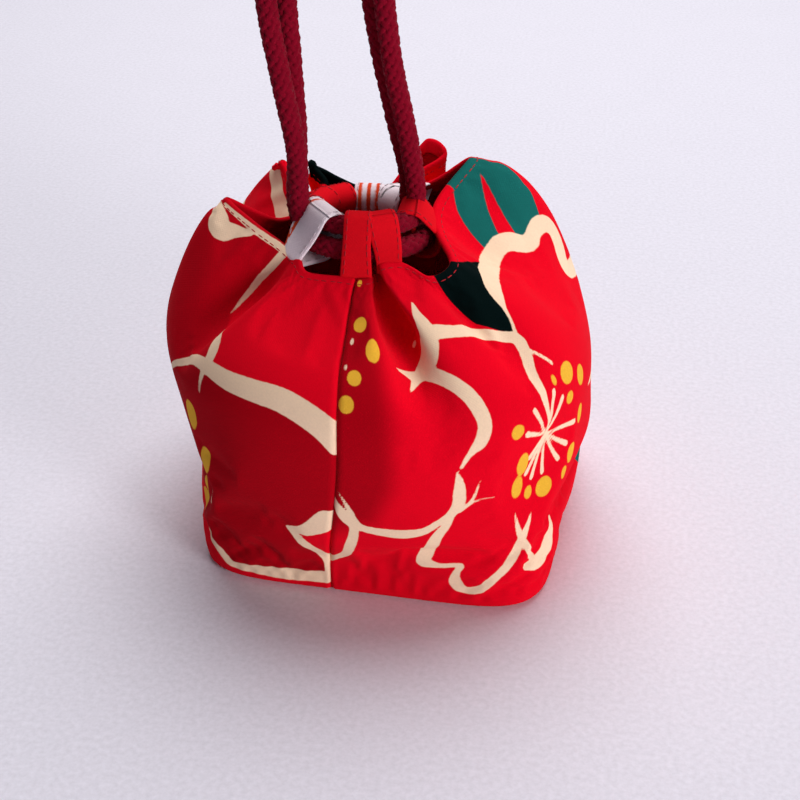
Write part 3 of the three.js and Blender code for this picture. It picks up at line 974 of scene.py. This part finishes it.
def round_blossom(middle, reach, turn):
    """A whole blossom: its outline strokes, its rays and its dots."""
    def spot(share, degrees):
        return tuple(middle + reach * share * outward(degrees)[:2])
    strokes = []
    ray_ends = []
    dots = []
    for petal in range(PETALS):
        heading = turn + 360 / PETALS * petal
        strokes.append([
            (*spot(share, heading + aside), reach * width) for share, aside, width in PETAL_OUTLINE
        ])
        ray_ends += [spot(share, heading + aside) for share, aside in PETAL_RAYS]
        for share, aside in PETAL_DOTS:
            dots.append((*spot(share, heading + aside), *(reach * size for size in BLOSSOM_DOT)))
    return strokes + ray_strokes(middle, ray_ends, inner=0.6, outer=1.2), dots


def leaf_outline(foot, tip, half_width):
    """A pointed leaf from its foot to its tip, and the narrow vein in it."""
    foot = np.array(foot, float)
    tip = np.array(tip, float)
    along = tip - foot
    aside = np.array([-along[1], along[0]]) / np.linalg.norm(along) * half_width
    shares = np.linspace(0, 1, LEAF_STEPS)[:, None]
    bulge = aside * np.sin(np.pi * shares ** LEAF_LEAN)
    one_side = foot + along * shares + bulge
    other_side = foot + along * shares - bulge
    vein = [foot + along * share + aside * width for share, width in LEAF_VEIN]
    return np.concatenate([one_side, other_side[-2:0:-1]]), vein


def print_layers(side, places):
    """The print of one panel: for each of its colours, how far each place lies outside it, and the share
    of the deeper ground, which is printed petals and painted shade."""
    blossom, blossom_dots = round_blossom(*BACK_BLOSSOMS[side])
    if side == "right":
        strokes = [*RIGHT_STROKES.values(), *ray_strokes(*RIGHT_RAYS), *blossom]
        dots = [*RIGHT_DOTS, *blossom_dots]
        drops = CREAM_DROPS
        green = np.maximum(patch_distance(places, RIGHT_LEAF), -patch_distance(places, RIGHT_VEIN))
        dark = patch_distance(places, DARK_LEAF)
        # Painted shade: the deeper red laid softly beside the front seam
        deep_and_shade_share = smooth_step(*SEAM_SHADE_EDGE, patch_distance(places, SEAM_SHADE))
    else:
        strokes = [*LEFT_STROKES.values(), *ray_strokes(*LEFT_RAYS), *blossom]
        dots = [*LEFT_DOTS, *blossom_dots]
        drops = ()
        green = np.full(places.shape[:-1], PRINT_MARGIN)
        dark = patch_distance(places, BACK_LEAF)
        # The deeper red: the printed petals, and painted shade at a share in the top of the panel beside the
        # crease blade
        petals = [(LEFT_CREASE_SHADE, CREASE_SHADE_SHARE), (LEFT_PETAL, 1)]
        for name in FAR_PETALS:
            petals.append(([LEFT_RAYS[0], *(point[:2] for point in LEFT_STROKES[name])], 1))
        deep_and_shade_share = np.zeros(places.shape[:-1])
        for petal, share in petals:
            inside = smooth_step(PETAL_EDGE, -PETAL_EDGE, patch_distance(places, petal))
            deep_and_shade_share = np.maximum(deep_and_shade_share, share * inside)
    for leaf in BACK_LEAVES[side]:
        outline, vein = leaf_outline(*leaf)
        shape = np.maximum(patch_distance(places, outline), -patch_distance(places, vein))
        green = np.minimum(green, shape)
    cream = np.minimum(stroke_distance(places, strokes), dot_distance(places, drops))
    return {
        "deep_and_shade_share": deep_and_shade_share,
        "green": green,
        "dark_green": dark,
        "cream": cream,
        "yellow": dot_distance(places, dots),
    }


# Outer cloth

COLUMNS = 180
ROWS = 52
FINER = 3
# How much the cloth may stretch while it settles, for how long, and how far at most a point may move
SLACK = 0.014
SETTLE_FRAMES = 22
FARTHEST = 6.0
# Directions between which each panel lies, from seam to seam
PANELS = {"right": (FRONT_SEAM, BACK_SEAM), "left": (BACK_SEAM, FRONT_SEAM + 360)}
SEAM_WIDTH = 1.6
SEAM_DEPTH = 0.9
# Where the wall's foot is carried under the base edge, in degrees, the lowest first, and its flat heights
CURL_ANGLES = (88, 66, 44, 22)
CURL_FLAT = (-3.0, -0.5)
# The hem: how far the cloth rolls over at the rim, in thicknesses and degrees, and how it goes on inside
HEM_ROLL = 1.3
HEM_ANGLES = (45, 90, 135)
HEM_ROWS = 8
HEM_RUN_ON = 1
HEM_SLOPE_ROWS = 6
HEM_FLAT_FROM = 0.6
HEM_FLAT_BEYOND = 2
# The base: points each way, and how far it lies inside the wall's foot and over the ground
BASE_STEPS = 49
BASE_INSET = 1.8
BASE_LIFT = 0.1

# Creases that run down from the gathered rim: direction at the rim and at the lower end, the height
# of the lower end, depth in millimetres (a valley is positive), and reach to either side in degrees.
CREASES = (
    (-78, -70, 0.36, 7.5, 8, 11),
    (-40, -44, 0.50, 3.5, 9, 10),
    (-5, -10, 0.58, 2.5, 9, 10),
    (53, 47, 0.52, 3.5, 10, 10),
    (98, 101, 0.50, 3.5, 10, 10),
    (133, 130, 0.55, 3.0, 9, 9),
    (167, 171, 0.50, 3.0, 9, 10),
    (222, 211, 0.44, 6.5, 12, 7),
    (116, 113, 0.42, 1.8, 6, 6),
    (76, 70, 0.40, 1.8, 6, 7),
    (22, 26, 0.62, -2.0, 12, 12),
    (196, 190, 0.62, -1.5, 12, 10),
)
# A crease is wider by this share at its lower end and deepest at this share of its height; towards the rim
# it fades by a share, from another share of its height
CREASE_WIDENING = 0.5
CREASE_DEEPEST = 0.75
CREASE_FADE = 0.85
CREASE_FADE_FROM = 0.72
CREASE_SHARPNESS = 1.6
# Dents in the belly: direction, height, depth, and reach round and up
DENTS = (
    (-4, 0.23, 5.0, 18, 0.05),
    (-3, 0.36, -1.0, 12, 0.06),
    (12, 0.62, 1.6, 16, 0.10),
    (192, 0.25, 4.0, 24, 0.09),
    (190, 0.40, 1.6, 26, 0.10),
    (160, 0.22, 2.0, 14, 0.06),
    (60, 0.20, 1.8, 18, 0.07),
    (-62, 0.16, 1.2, 20, 0.06),
    (118, 0.30, 1.6, 14, 0.08),
)


def turned_from(directions, direction):
    """How far each direction lies from another one, in degrees from -180 to 180."""
    return (directions - direction + 180) % 360 - 180


def creased(grid, directions, heights):
    """The wall pressed in along its creases and dents."""
    normals = grid_normals(grid)
    pressed = np.zeros(grid.shape[:2])
    level = heights[:, None]
    for at_rim, at_end, end, depth, before, after in CREASES:
        share = np.clip((level - end) / (1 - end), 0, 1)
        aside = turned_from(directions[None, :], at_end + (at_rim - at_end) * share)
        reach = np.where(aside < 0, before, after) * (1 + CREASE_WIDENING - CREASE_WIDENING * share)
        fading = 1 - CREASE_FADE * smooth_step(CREASE_FADE_FROM, 1.0, share)
        deep = smooth_step(0, CREASE_DEEPEST, share) * fading
        pressed += depth * deep * np.exp(-(aside / reach * CREASE_SHARPNESS) ** 2)
    for direction, height, depth, around, upwards in DENTS:
        aside = turned_from(directions[None, :], direction) / around
        above = (level - height) / upwards
        pressed += depth * np.exp(-(aside**2) - above**2)
    return grid - normals * pressed[..., None]


def cloth_tube(name, grid):
    """A closed wall of single cloth, and for each of its points its number in the grid."""
    rows, columns = grid.shape[:2]
    bm = bmesh.new()
    bmesh.ops.create_grid(bm, x_segments=columns, y_segments=rows - 1, size=1)
    number = bm.verts.layers.int.new("number")
    for vert in bm.verts:
        column = round((vert.co.x + 1) / 2 * columns) % columns
        row = round((vert.co.y + 1) / 2 * (rows - 1))
        vert[number] = row * columns + column
        vert.co = grid[row, column] * MM
    bmesh.ops.remove_doubles(bm, verts=bm.verts, dist=0.001 * MM)
    order = np.array([vert[number] for vert in bm.verts])
    return add_object(name, bm), order


def relaxed(grid):
    """The wall after a short cloth simulation, with its rim and base edge held and a little air inside."""
    rows, columns = grid.shape[:2]
    piece, order = cloth_tube("wall_cloth", grid)
    held = piece.vertex_groups.new(name="held")
    row = order // columns
    held.add(np.flatnonzero((row == 0) | (row >= rows - 2)).tolist(), 1.0, "REPLACE")
    held.add(np.flatnonzero((row == 1) | (row == rows - 3)).tolist(), 0.5, "REPLACE")
    modifier = piece.modifiers.new("cloth", "CLOTH")
    settings = modifier.settings
    settings.quality = 6
    settings.mass = 0.08
    settings.tension_stiffness = 18
    settings.compression_stiffness = 18
    settings.shear_stiffness = 6
    settings.bending_stiffness = 1.2
    settings.air_damping = 4
    settings.shrink_min = -SLACK
    settings.vertex_group_mass = "held"
    settings.use_pressure = True
    settings.uniform_pressure_force = 1.6
    settings.effector_weights.gravity = 0.04
    modifier.collision_settings.use_collision = False
    modifier.collision_settings.use_self_collision = False
    scene = bpy.context.scene
    modifier.point_cache.frame_start = 1
    modifier.point_cache.frame_end = SETTLE_FRAMES
    for step in range(1, SETTLE_FRAMES + 1):
        scene.frame_set(step)
    shaped = piece.evaluated_get(bpy.context.evaluated_depsgraph_get()).data
    places = np.empty(len(shaped.vertices) * 3)
    shaped.vertices.foreach_get("co", places)
    settled = np.empty((rows * columns, 3))
    settled[order] = places.reshape(-1, 3) / MM
    scene.frame_set(1)
    mesh = piece.data
    bpy.data.objects.remove(piece)
    bpy.data.meshes.remove(mesh)
    moved = settled.reshape(rows, columns, 3) - grid
    far = np.linalg.norm(moved, axis=2, keepdims=True)
    return grid + moved * np.minimum(1, FARTHEST / np.maximum(far, 1e-9))


class Wall:
    """The settled wall of the pouch, kept for the pieces that lie on it."""
    grid = None
    normals = None
    down = None


def shape_wall():
    """Works out the wall's points, row by row, and keeps them."""
    directions = FRONT_SEAM + 360 * np.arange(COLUMNS) / COLUMNS
    heights = np.linspace(0, 1, ROWS + 1)
    grid = creased(wall_grid(directions, heights), directions, heights)
    grid = relaxed(grid)
    Wall.grid = finer(grid, FINER)
    Wall.normals = grid_normals(Wall.grid)
    Wall.down = unit(Wall.grid[-HEM_SLOPE_ROWS] - Wall.grid[-1])


def panel_columns(side):
    """Column numbers of the wall from one seam of a panel to the other, both ends included."""
    total = COLUMNS * FINER
    start, end = (round((seam - FRONT_SEAM) / 360 * total) for seam in PANELS[side])
    return np.arange(start, end + 1)


def base_curl(grid):
    """Rows that carry the wall's foot round under the base edge, the lowest first."""
    columns = grid.shape[1]
    away = outward(FRONT_SEAM + 360 * np.arange(columns) / columns)
    middle = grid[0] - BASE_CURL * away
    rows = []
    for angle in np.radians(CURL_ANGLES):
        rows.append(middle + BASE_CURL * (math.cos(angle) * away - math.sin(angle) * np.array([0, 0, 1])))
    return np.array(rows)


def turned_hem(grid, normals, down, hem, thickness):
    """Rows that turn the rim over and carry it down inside."""
    edge = grid[-1]
    inward = -normals[-1]
    roll = HEM_ROLL * thickness
    rows = []
    for angle in np.radians(HEM_ANGLES):
        rows.append(edge + inward * roll * (1 - math.cos(angle)) - down * roll * math.sin(angle))
    for depth in np.linspace(0, hem + HEM_RUN_ON, HEM_ROWS):
        rows.append(edge + inward * 2 * roll + down * depth)
    return np.array(rows)


def sunk_at_seams(points, normals):
    """A panel with its two long edges drawn in, as they are where the panels are sewn together."""
    count = points.shape[1]
    pitch = PERIMETER / (COLUMNS * FINER)
    aside = np.minimum(np.arange(count), np.arange(count)[::-1]) * pitch
    sunk = SEAM_DEPTH * np.clip(1 - aside / SEAM_WIDTH, 0, 1) ** 2
    return points - normals * sunk[None, :, None]


def flat_places(along, heights):
    """Flat places of a panel's points, for its columns' places along the wall and its rows' heights."""
    return np.stack(np.meshgrid(along, heights), axis=-1)


class POUCH_OT_outer_cloth(bpy.types.Operator):
    """Makes the printed outer panels and the base"""
    bl_idname = "pouch.outer_cloth"
    bl_label = "Outer cloth"

    def execute(self, context):
        cloth = context.scene.pouch_cloth
        thickness = cloth.outer_thickness / MM
        hem = cloth.hem_depth / MM
        inks = [(key, tuple(getattr(cloth, key))) for key in ("green", "dark_green", "cream", "yellow")]
        finish = cloth_finish("printed_cloth", tuple(cloth.red), inks, deeper=tuple(cloth.deep_red_and_shade))
        shape_wall()
        rows, columns = Wall.grid.shape[:2]
        curl = base_curl(Wall.grid)
        inside = turned_hem(Wall.grid, Wall.normals, Wall.down, hem, thickness)
        whole = np.concatenate([curl, Wall.grid, inside])
        normals = grid_normals(whole)
        heights = np.concatenate([
            np.linspace(*CURL_FLAT, len(curl)),
            np.linspace(0, WALL_HEIGHT, rows),
            WALL_HEIGHT + np.linspace(HEM_FLAT_FROM, hem + HEM_FLAT_BEYOND, len(inside)),
        ])
        for side in PANELS:
            picked = panel_columns(side)
            points = sunk_at_seams(whole[:, picked % columns], normals[:, picked % columns])
            flat = flat_places(picked / columns * PERIMETER, heights)
            places = flat - (PERIMETER if side == "left" else 0, 0)
            name = f"outer_{side}_panel"
            piece = add_object(name + "_cloth", sheet_mesh(points, flat, print_layers(side, places)), finish)
            thicken(piece, cloth.outer_thickness)
            settle(piece, "outer_cloth", name)
        base_finish = cloth_finish("base_cloth", tuple(cloth.red))
        base = base_sheet("outer_base_cloth", BASE_INSET, BASE_LIFT, base_finish)
        thicken(base, cloth.outer_thickness)
        settle(base, "outer_cloth", "outer_base")
        return {"FINISHED"}


def base_sheet(name, inset, height, finish):
    """A flat rounded base, facing down, `inset` inside the wall's foot."""
    steps = np.linspace(-1, 1, BASE_STEPS)
    across, along = np.meshgrid(steps, steps)
    reach = np.maximum(np.abs(across), np.abs(along))
    directions = np.degrees(np.arctan2(along, across))
    edge = turned(ring_points(BASE_RING, directions.ravel()), BASE_TURN).reshape(BASE_STEPS, BASE_STEPS, 3)
    rays = outward(directions + BASE_TURN)
    middle = np.array([*BASE_RING["middle"], 0.0])
    points = middle + (edge - rays * inset - middle) * reach[..., None]
    points[..., 2] = height
    flat = points[..., :2].copy()
    return add_object(name, sheet_mesh(points[:, ::-1], flat[:, ::-1]), finish)


# Lining

LINING_GAP = 0.45
LINING_DROP = 3.0
LINING_LIFT = 2.0


class POUCH_OT_lining(bpy.types.Operator):
    """Makes the plain lining inside the pouch"""
    bl_idname = "pouch.lining"
    bl_label = "Lining"

    def execute(self, context):
        cloth = context.scene.pouch_cloth
        finish = cloth_finish("lining_cloth", tuple(cloth.lining))
        columns = Wall.grid.shape[1]
        gap = cloth.outer_thickness / MM + LINING_GAP
        top = Wall.grid.shape[0] - round(LINING_DROP / WALL_HEIGHT * Wall.grid.shape[0])
        inner = (Wall.grid - Wall.normals * gap)[1:top:2]
        height = WALL_HEIGHT - LINING_DROP
        for side in PANELS:
            picked = panel_columns(side)[::-2]
            points = inner[:, picked % columns]
            flat = flat_places(picked / columns * PERIMETER, np.linspace(0, height, len(points)))
            name = f"lining_{side}_panel"
            piece = add_object(name + "_cloth", sheet_mesh(points, flat), finish)
            thicken(piece, cloth.lining_thickness, 0)
            settle(piece, "lining_cloth", name)
        base = base_sheet("lining_base_cloth", BASE_CURL, LINING_LIFT, finish)
        thicken(base, cloth.lining_thickness, 0)
        settle(base, "lining_cloth", "lining_base")
        return {"FINISHED"}


# Loops and stitches

LOOP_THICKNESS = 1.1
LOOP_SLACK = 0.25
LOOP_FOOT = 0.7
LOOP_STEP = 0.6
# A loop's root: how far it is sunk in from the rim and below it, and how much wider it is than its place
ROOT_INSET = 1.0
ROOT_DROP = 2.0
ROOT_EXTRA = 0.8
# Where a loop turns from its root's width to its own, measured from the root
LOOP_TURN = (1, 13)
BAND_POINTS = 72
SECTION_POINTS = 28
SECTION_SQUARENESS = 8
LOOP_STITCH = {"length": 1.7, "gap": 0.6, "thread": 0.34}
HEM_STITCH = {"length": 1.6, "gap": 0.6, "thread": 0.3}
STITCH_INSET = 1.0
STITCH_ENDS = 4
# Marks of the printed strips, as strokes: across the strip, up from its root, and width
LOOP_MARKS = {
    "left_front_loop": {"orange": (((-3.9, 2, 1.6), (-3.8, 14, 1.4), (-3.2, 24, 1.0)),)},
    "back_right_loop": {"orange": (
        ((-2.8, 8, 0.8), (-2.4, 20, 1.2), (-2.6, 40, 1)), ((-0.4, 8, 0.8), (0, 20, 1.3), (-0.2, 40, 1)),
        ((2.2, 8, 0.8), (2.5, 20, 1.2), (2.3, 40, 1)),
    )},
    "right_back_loop": {"dark_green": (((-3, 6, 0.6), (0, 11, 0.9), (2.2, 18, 0.6)),)},
}


def band_round(circles):
    """The tight line round some circles (x, y, radius), anticlockwise, as points."""
    turns = np.linspace(0, 2 * math.pi, BAND_POINTS, endpoint=False)
    cloud = np.concatenate([
        np.column_stack([x + radius * np.cos(turns), y + radius * np.sin(turns)]) for x, y, radius in circles
    ])
    cloud = cloud[np.lexsort((cloud[:, 1], cloud[:, 0]))]
    chains = []
    for points in (cloud, cloud[::-1]):
        chain = []
        for point in points:
            while len(chain) > 1:
                back = chain[-1] - chain[-2]
                ahead = point - chain[-2]
                if back[0] * ahead[1] - back[1] * ahead[0] > 0:
                    break
                chain.pop()
            chain.append(point)
        chains.append(chain[:-1])
    return np.array(chains[0] + chains[1])


def loop_line(root, direction, cord_diameter):
    """A loop's line in the upright plane through its root: up outside, over both cords and down inside."""
    around = cord_diameter / 2 + LOOP_THICKNESS / 2 + LOOP_SLACK
    circles = [(*root, LOOP_FOOT)]
    for ring in (OUTER_RING, INNER_RING):
        circles.append((ring["radius"], MOUTH[2] + ring_height(ring, direction), around))
    hull = band_round(circles)
    lowest = np.array(root) + LOOP_FOOT * unit(np.array(root) - hull.mean(0))
    hull = np.roll(hull, -np.argmin(np.linalg.norm(hull - lowest, axis=1)), axis=0)
    return evenly(np.concatenate([hull, hull[:1]]), LOOP_STEP)


def tube_mesh(bm, rings, flat, layers=None):
    """Adds a closed-ended skin over rows of closed rings, in millimetres, to a mesh. Its UV map has the
    flat places, with one more column than the rings have, and each layer is a number at every point."""
    rows, around = rings.shape[:2]
    uv = bm.loops.layers.uv.new("cloth")
    for name in layers or ():
        bm.verts.layers.float.new(name)
    made = bmesh.ops.create_grid(bm, x_segments=around, y_segments=rows - 1, size=1)["verts"]
    for vert in made:
        column = round((vert.co.x + 1) / 2 * around)
        row = round((vert.co.y + 1) / 2 * (rows - 1))
        for loop in vert.link_loops:
            loop[uv].uv = flat[row, column] * MM
        for name, values in (layers or {}).items():
            vert[bm.verts.layers.float[name]] = values[row, column % around]
        vert.co = rings[row, column % around] * MM
    bmesh.ops.remove_doubles(bm, verts=made, dist=0.0005 * MM)
    ends = [edge for edge in bm.edges if edge.is_boundary]
    bmesh.ops.holes_fill(bm, edges=ends, sides=around + 1)
    bmesh.ops.recalc_face_normals(bm, faces=bm.faces)


def rounded_section():
    """Points round a flat strip with round edges: shares of its width, and places in its thickness."""
    turns = np.linspace(0, 2 * math.pi, SECTION_POINTS, endpoint=False)
    flat = np.cos(turns) / 2
    rise = np.sqrt(1 - np.cos(turns) ** SECTION_SQUARENESS)
    return flat, np.sign(np.sin(turns)) * rise * LOOP_THICKNESS / 2


def add_stitches(bm, line, normals, length, gap, thread):
    """Adds a row of stitches along a line that lies on cloth, in millimetres."""
    lengths = lengths_along(line)
    tangents = unit(np.gradient(line, axis=0))
    for start in np.arange(gap, lengths[-1] - length, length + gap):
        index = int(np.searchsorted(lengths, start + length / 2))
        along = Vector(tangents[index])
        out = Vector(normals[index])
        side = out.cross(along).normalized()
        out = along.cross(side)
        turn = Matrix((along, side, out)).transposed().to_4x4()
        size = Matrix.Diagonal((length / 2 * MM, thread / 2 * MM, thread / 2 * MM, 1))
        place = Matrix.Translation(Vector(line[index]) * MM)
        bmesh.ops.create_icosphere(bm, subdivisions=2, radius=1, matrix=place @ turn @ size)


class POUCH_OT_loops(bpy.types.Operator):
    """Makes the eight sewn loops that hold the cords"""
    bl_idname = "pouch.loops"
    bl_label = "Loops"

    def execute(self, context):
        cloth = context.scene.pouch_cloth
        cord = context.scene.pouch_cord
        marks = {"orange": tuple(cloth.orange), "dark_green": tuple(cloth.dark_green)}
        finishes = {
            "red": cloth_finish("red_strip_cloth", tuple(cloth.strip_red)),
            "pale": cloth_finish("pale_strip_cloth", tuple(cloth.strip_pale), marks.items()),
        }
        threads = {
            "red": thread_finish("red_thread", tuple(cloth.thread_red)),
            "pale": thread_finish("pale_thread", tuple(cloth.thread_pale)),
        }
        across_shares, thick = rounded_section()
        for name, station, tone, top_width in LOOPS:
            left = np.array(RIM[station + " a"][1:])
            right = np.array(RIM[station + " b"][1:])
            middle = (left + right) / 2
            offset = (middle - MOUTH)[:2]
            away = np.array([*unit(offset), 0.0])
            direction = math.degrees(math.atan2(offset[1], offset[0]))
            root = (np.linalg.norm(offset) - ROOT_INSET, middle[2] - ROOT_DROP)
            line = loop_line(root, direction, cord.diameter / MM)
            centres = np.array([MOUTH[0], MOUTH[1], 0]) + away * line[:, :1]
            centres[:, 2] = line[:, 1]
            lengths = lengths_along(line)
            from_root = np.minimum(lengths, lengths[-1] - lengths)
            share = smooth_step(*LOOP_TURN, from_root)[:, None]
            along_rim = unit(right - left)
            across = np.array([-away[1], away[0], 0.0])
            width_ways = unit((1 - share) * along_rim + share * across)
            root_width = np.linalg.norm(right - left) + ROOT_EXTRA
            widths = root_width + (top_width - root_width) * share
            tangents = unit(np.gradient(centres, axis=0))
            outs = unit(np.cross(tangents, width_ways))
            rings = (
                centres[:, None]
                + width_ways[:, None] * (widths * across_shares)[..., None]
                + outs[:, None] * thick[None, :, None]
            )
            flat = np.empty((len(rings), len(thick) + 1, 2))
            flat[..., 0] = widths * np.append(across_shares, across_shares[0])
            flat[..., 1] = lengths[:, None]
            places = np.stack([flat[:, :-1, 0], np.repeat(from_root[:, None], len(thick), 1)], axis=-1)
            drawn = LOOP_MARKS.get(name, {})
            layers = {key: stroke_distance(places, drawn.get(key, ())) for key in marks}
            bm = bmesh.new()
            tube_mesh(bm, rings, flat, layers)
            piece = add_object(name + "_strip", bm, finishes[tone])
            settle(piece, tone + "_strip", name)
            sewn = bmesh.new()
            inner = slice(STITCH_ENDS, -STITCH_ENDS)
            for edge in (-1, 1):
                for face in (-1, 1):
                    aside = width_ways * edge * (widths / 2 - STITCH_INSET)
                    row = centres + aside + outs * face * LOOP_THICKNESS * 0.5
                    add_stitches(sewn, row[inner], face * outs[inner], **LOOP_STITCH)
            stitches = add_object(name + "_stitches", sewn, threads[tone])
            settle(stitches, tone + "_strip")
        return {"FINISHED"}


class POUCH_OT_stitching(bpy.types.Operator):
    """Sews the hem round the rim"""
    bl_idname = "pouch.stitching"
    bl_label = "Hem stitching"

    def execute(self, context):
        cloth = context.scene.pouch_cloth
        finish = thread_finish("hem_thread", tuple(cloth.thread_red))
        row = -1 - round(cloth.hem_depth / MM / WALL_HEIGHT * len(Wall.grid))
        line = np.concatenate([Wall.grid[row], Wall.grid[row, :1]])
        normals = np.concatenate([Wall.normals[row], Wall.normals[row, :1]])
        bm = bmesh.new()
        add_stitches(bm, line, normals, **HEM_STITCH)
        settle(add_object("hem_stitches", bm, finish), "outer_cloth")
        return {"FINISHED"}


# Stage

CAMERA_TARGET = (0.6, 0.0, 35.0)
CAMERA_DISTANCE = 430.0
CAMERA_AZIMUTH = 8.0
CAMERA_ELEVATION = 34.0
FLOOR_REACH = 4000
LIGHT_TARGET = (0, 0, 40)
# The lights: place, size and colour
KEY_LIGHT = ((20, 560, 1180), 1200, (1.0, 0.98, 0.97))
SIDE_LIGHT = ((940, -740, 240), 450, (1.0, 0.98, 0.98))
WORLD_COLOUR = (0.82, 0.80, 0.92, 1)
WORLD_STRENGTH = 0.12


def area_light(name, power, place, size, colour):
    """A soft round light that shines on the pouch, in millimetres."""
    data = bpy.data.lights.new(name, "AREA")
    data.shape = "DISK"
    data.size = size * MM
    data.energy = power
    data.color = colour
    light = bpy.data.objects.new(name, data)
    light.location = Vector(place) * MM
    aim = Vector(LIGHT_TARGET) * MM - light.location
    light.rotation_euler = aim.to_track_quat("-Z", "Y").to_euler()
    bpy.context.collection.objects.link(light)


class POUCH_OT_stage(bpy.types.Operator):
    """Makes the floor, the lights and the camera"""
    bl_idname = "pouch.stage"
    bl_label = "Stage"

    def execute(self, context):
        stage = context.scene.pouch_stage
        bm = bmesh.new()
        bmesh.ops.create_grid(bm, x_segments=1, y_segments=1, size=FLOOR_REACH * MM)
        add_object("floor", bm, floor_finish("pale_floor", tuple(stage.floor)))
        area_light("key_light", stage.key_power, *KEY_LIGHT)
        area_light("side_light", stage.side_power, *SIDE_LIGHT)
        world = bpy.data.worlds.new("studio")
        world.use_nodes = True
        background = world.node_tree.nodes["Background"]
        background.inputs["Color"].default_value = WORLD_COLOUR
        background.inputs["Strength"].default_value = WORLD_STRENGTH
        context.scene.world = world
        context.scene.view_settings.view_transform = "Standard"
        data = bpy.data.cameras.new("camera")
        data.lens = stage.lens
        camera = bpy.data.objects.new("camera", data)
        turn = math.radians(CAMERA_AZIMUTH)
        lift = math.radians(CAMERA_ELEVATION)
        back = Vector((
            math.sin(turn) * math.cos(lift), -math.cos(turn) * math.cos(lift), math.sin(lift)
        ))
        camera.location = (Vector(CAMERA_TARGET) + back * CAMERA_DISTANCE) * MM
        camera.rotation_euler = (-back).to_track_quat("-Z", "Y").to_euler()
        context.collection.objects.link(camera)
        context.scene.camera = camera
        return {"FINISHED"}


class POUCH_PT_panel(bpy.types.Panel):
    """Lists the pouch's pieces and settings"""
    bl_idname = "POUCH_PT_panel"
    bl_label = "Drawstring Pouch"
    bl_space_type = "VIEW_3D"
    bl_region_type = "UI"
    bl_category = "Pouch"

    def draw(self, context):
        layout = self.layout
        for settings in (context.scene.pouch_cloth, context.scene.pouch_cord, context.scene.pouch_stage):
            for key in settings.__annotations__:
                layout.prop(settings, key)
        for operator in OPERATORS:
            layout.operator(operator.bl_idname)


OPERATORS = (
    POUCH_OT_stage,
    POUCH_OT_cords,
    POUCH_OT_outer_cloth,
    POUCH_OT_lining,
    POUCH_OT_loops,
    POUCH_OT_stitching,
)
CLASSES = (PouchCloth, PouchCord, PouchStage, *OPERATORS, POUCH_PT_panel)


def register():
    """Adds the classes and the scene's settings."""
    for each in CLASSES:
        bpy.utils.register_class(each)
    bpy.types.Scene.pouch_cloth = bpy.props.PointerProperty(type=PouchCloth)
    bpy.types.Scene.pouch_cord = bpy.props.PointerProperty(type=PouchCord)
    bpy.types.Scene.pouch_stage = bpy.props.PointerProperty(type=PouchStage)


def unregister():
    """Takes the settings and the classes away."""
    del bpy.types.Scene.pouch_stage
    del bpy.types.Scene.pouch_cord
    del bpy.types.Scene.pouch_cloth
    for each in reversed(CLASSES):
        bpy.utils.unregister_class(each)


def main():
    """Builds the pouch and its stage."""
    register()
    bpy.ops.pouch.stage()
    bpy.ops.pouch.cords()
    bpy.ops.pouch.outer_cloth()
    bpy.ops.pouch.lining()
    bpy.ops.pouch.loops()
    bpy.ops.pouch.stitching()


if __name__ == "__main__":
    main()
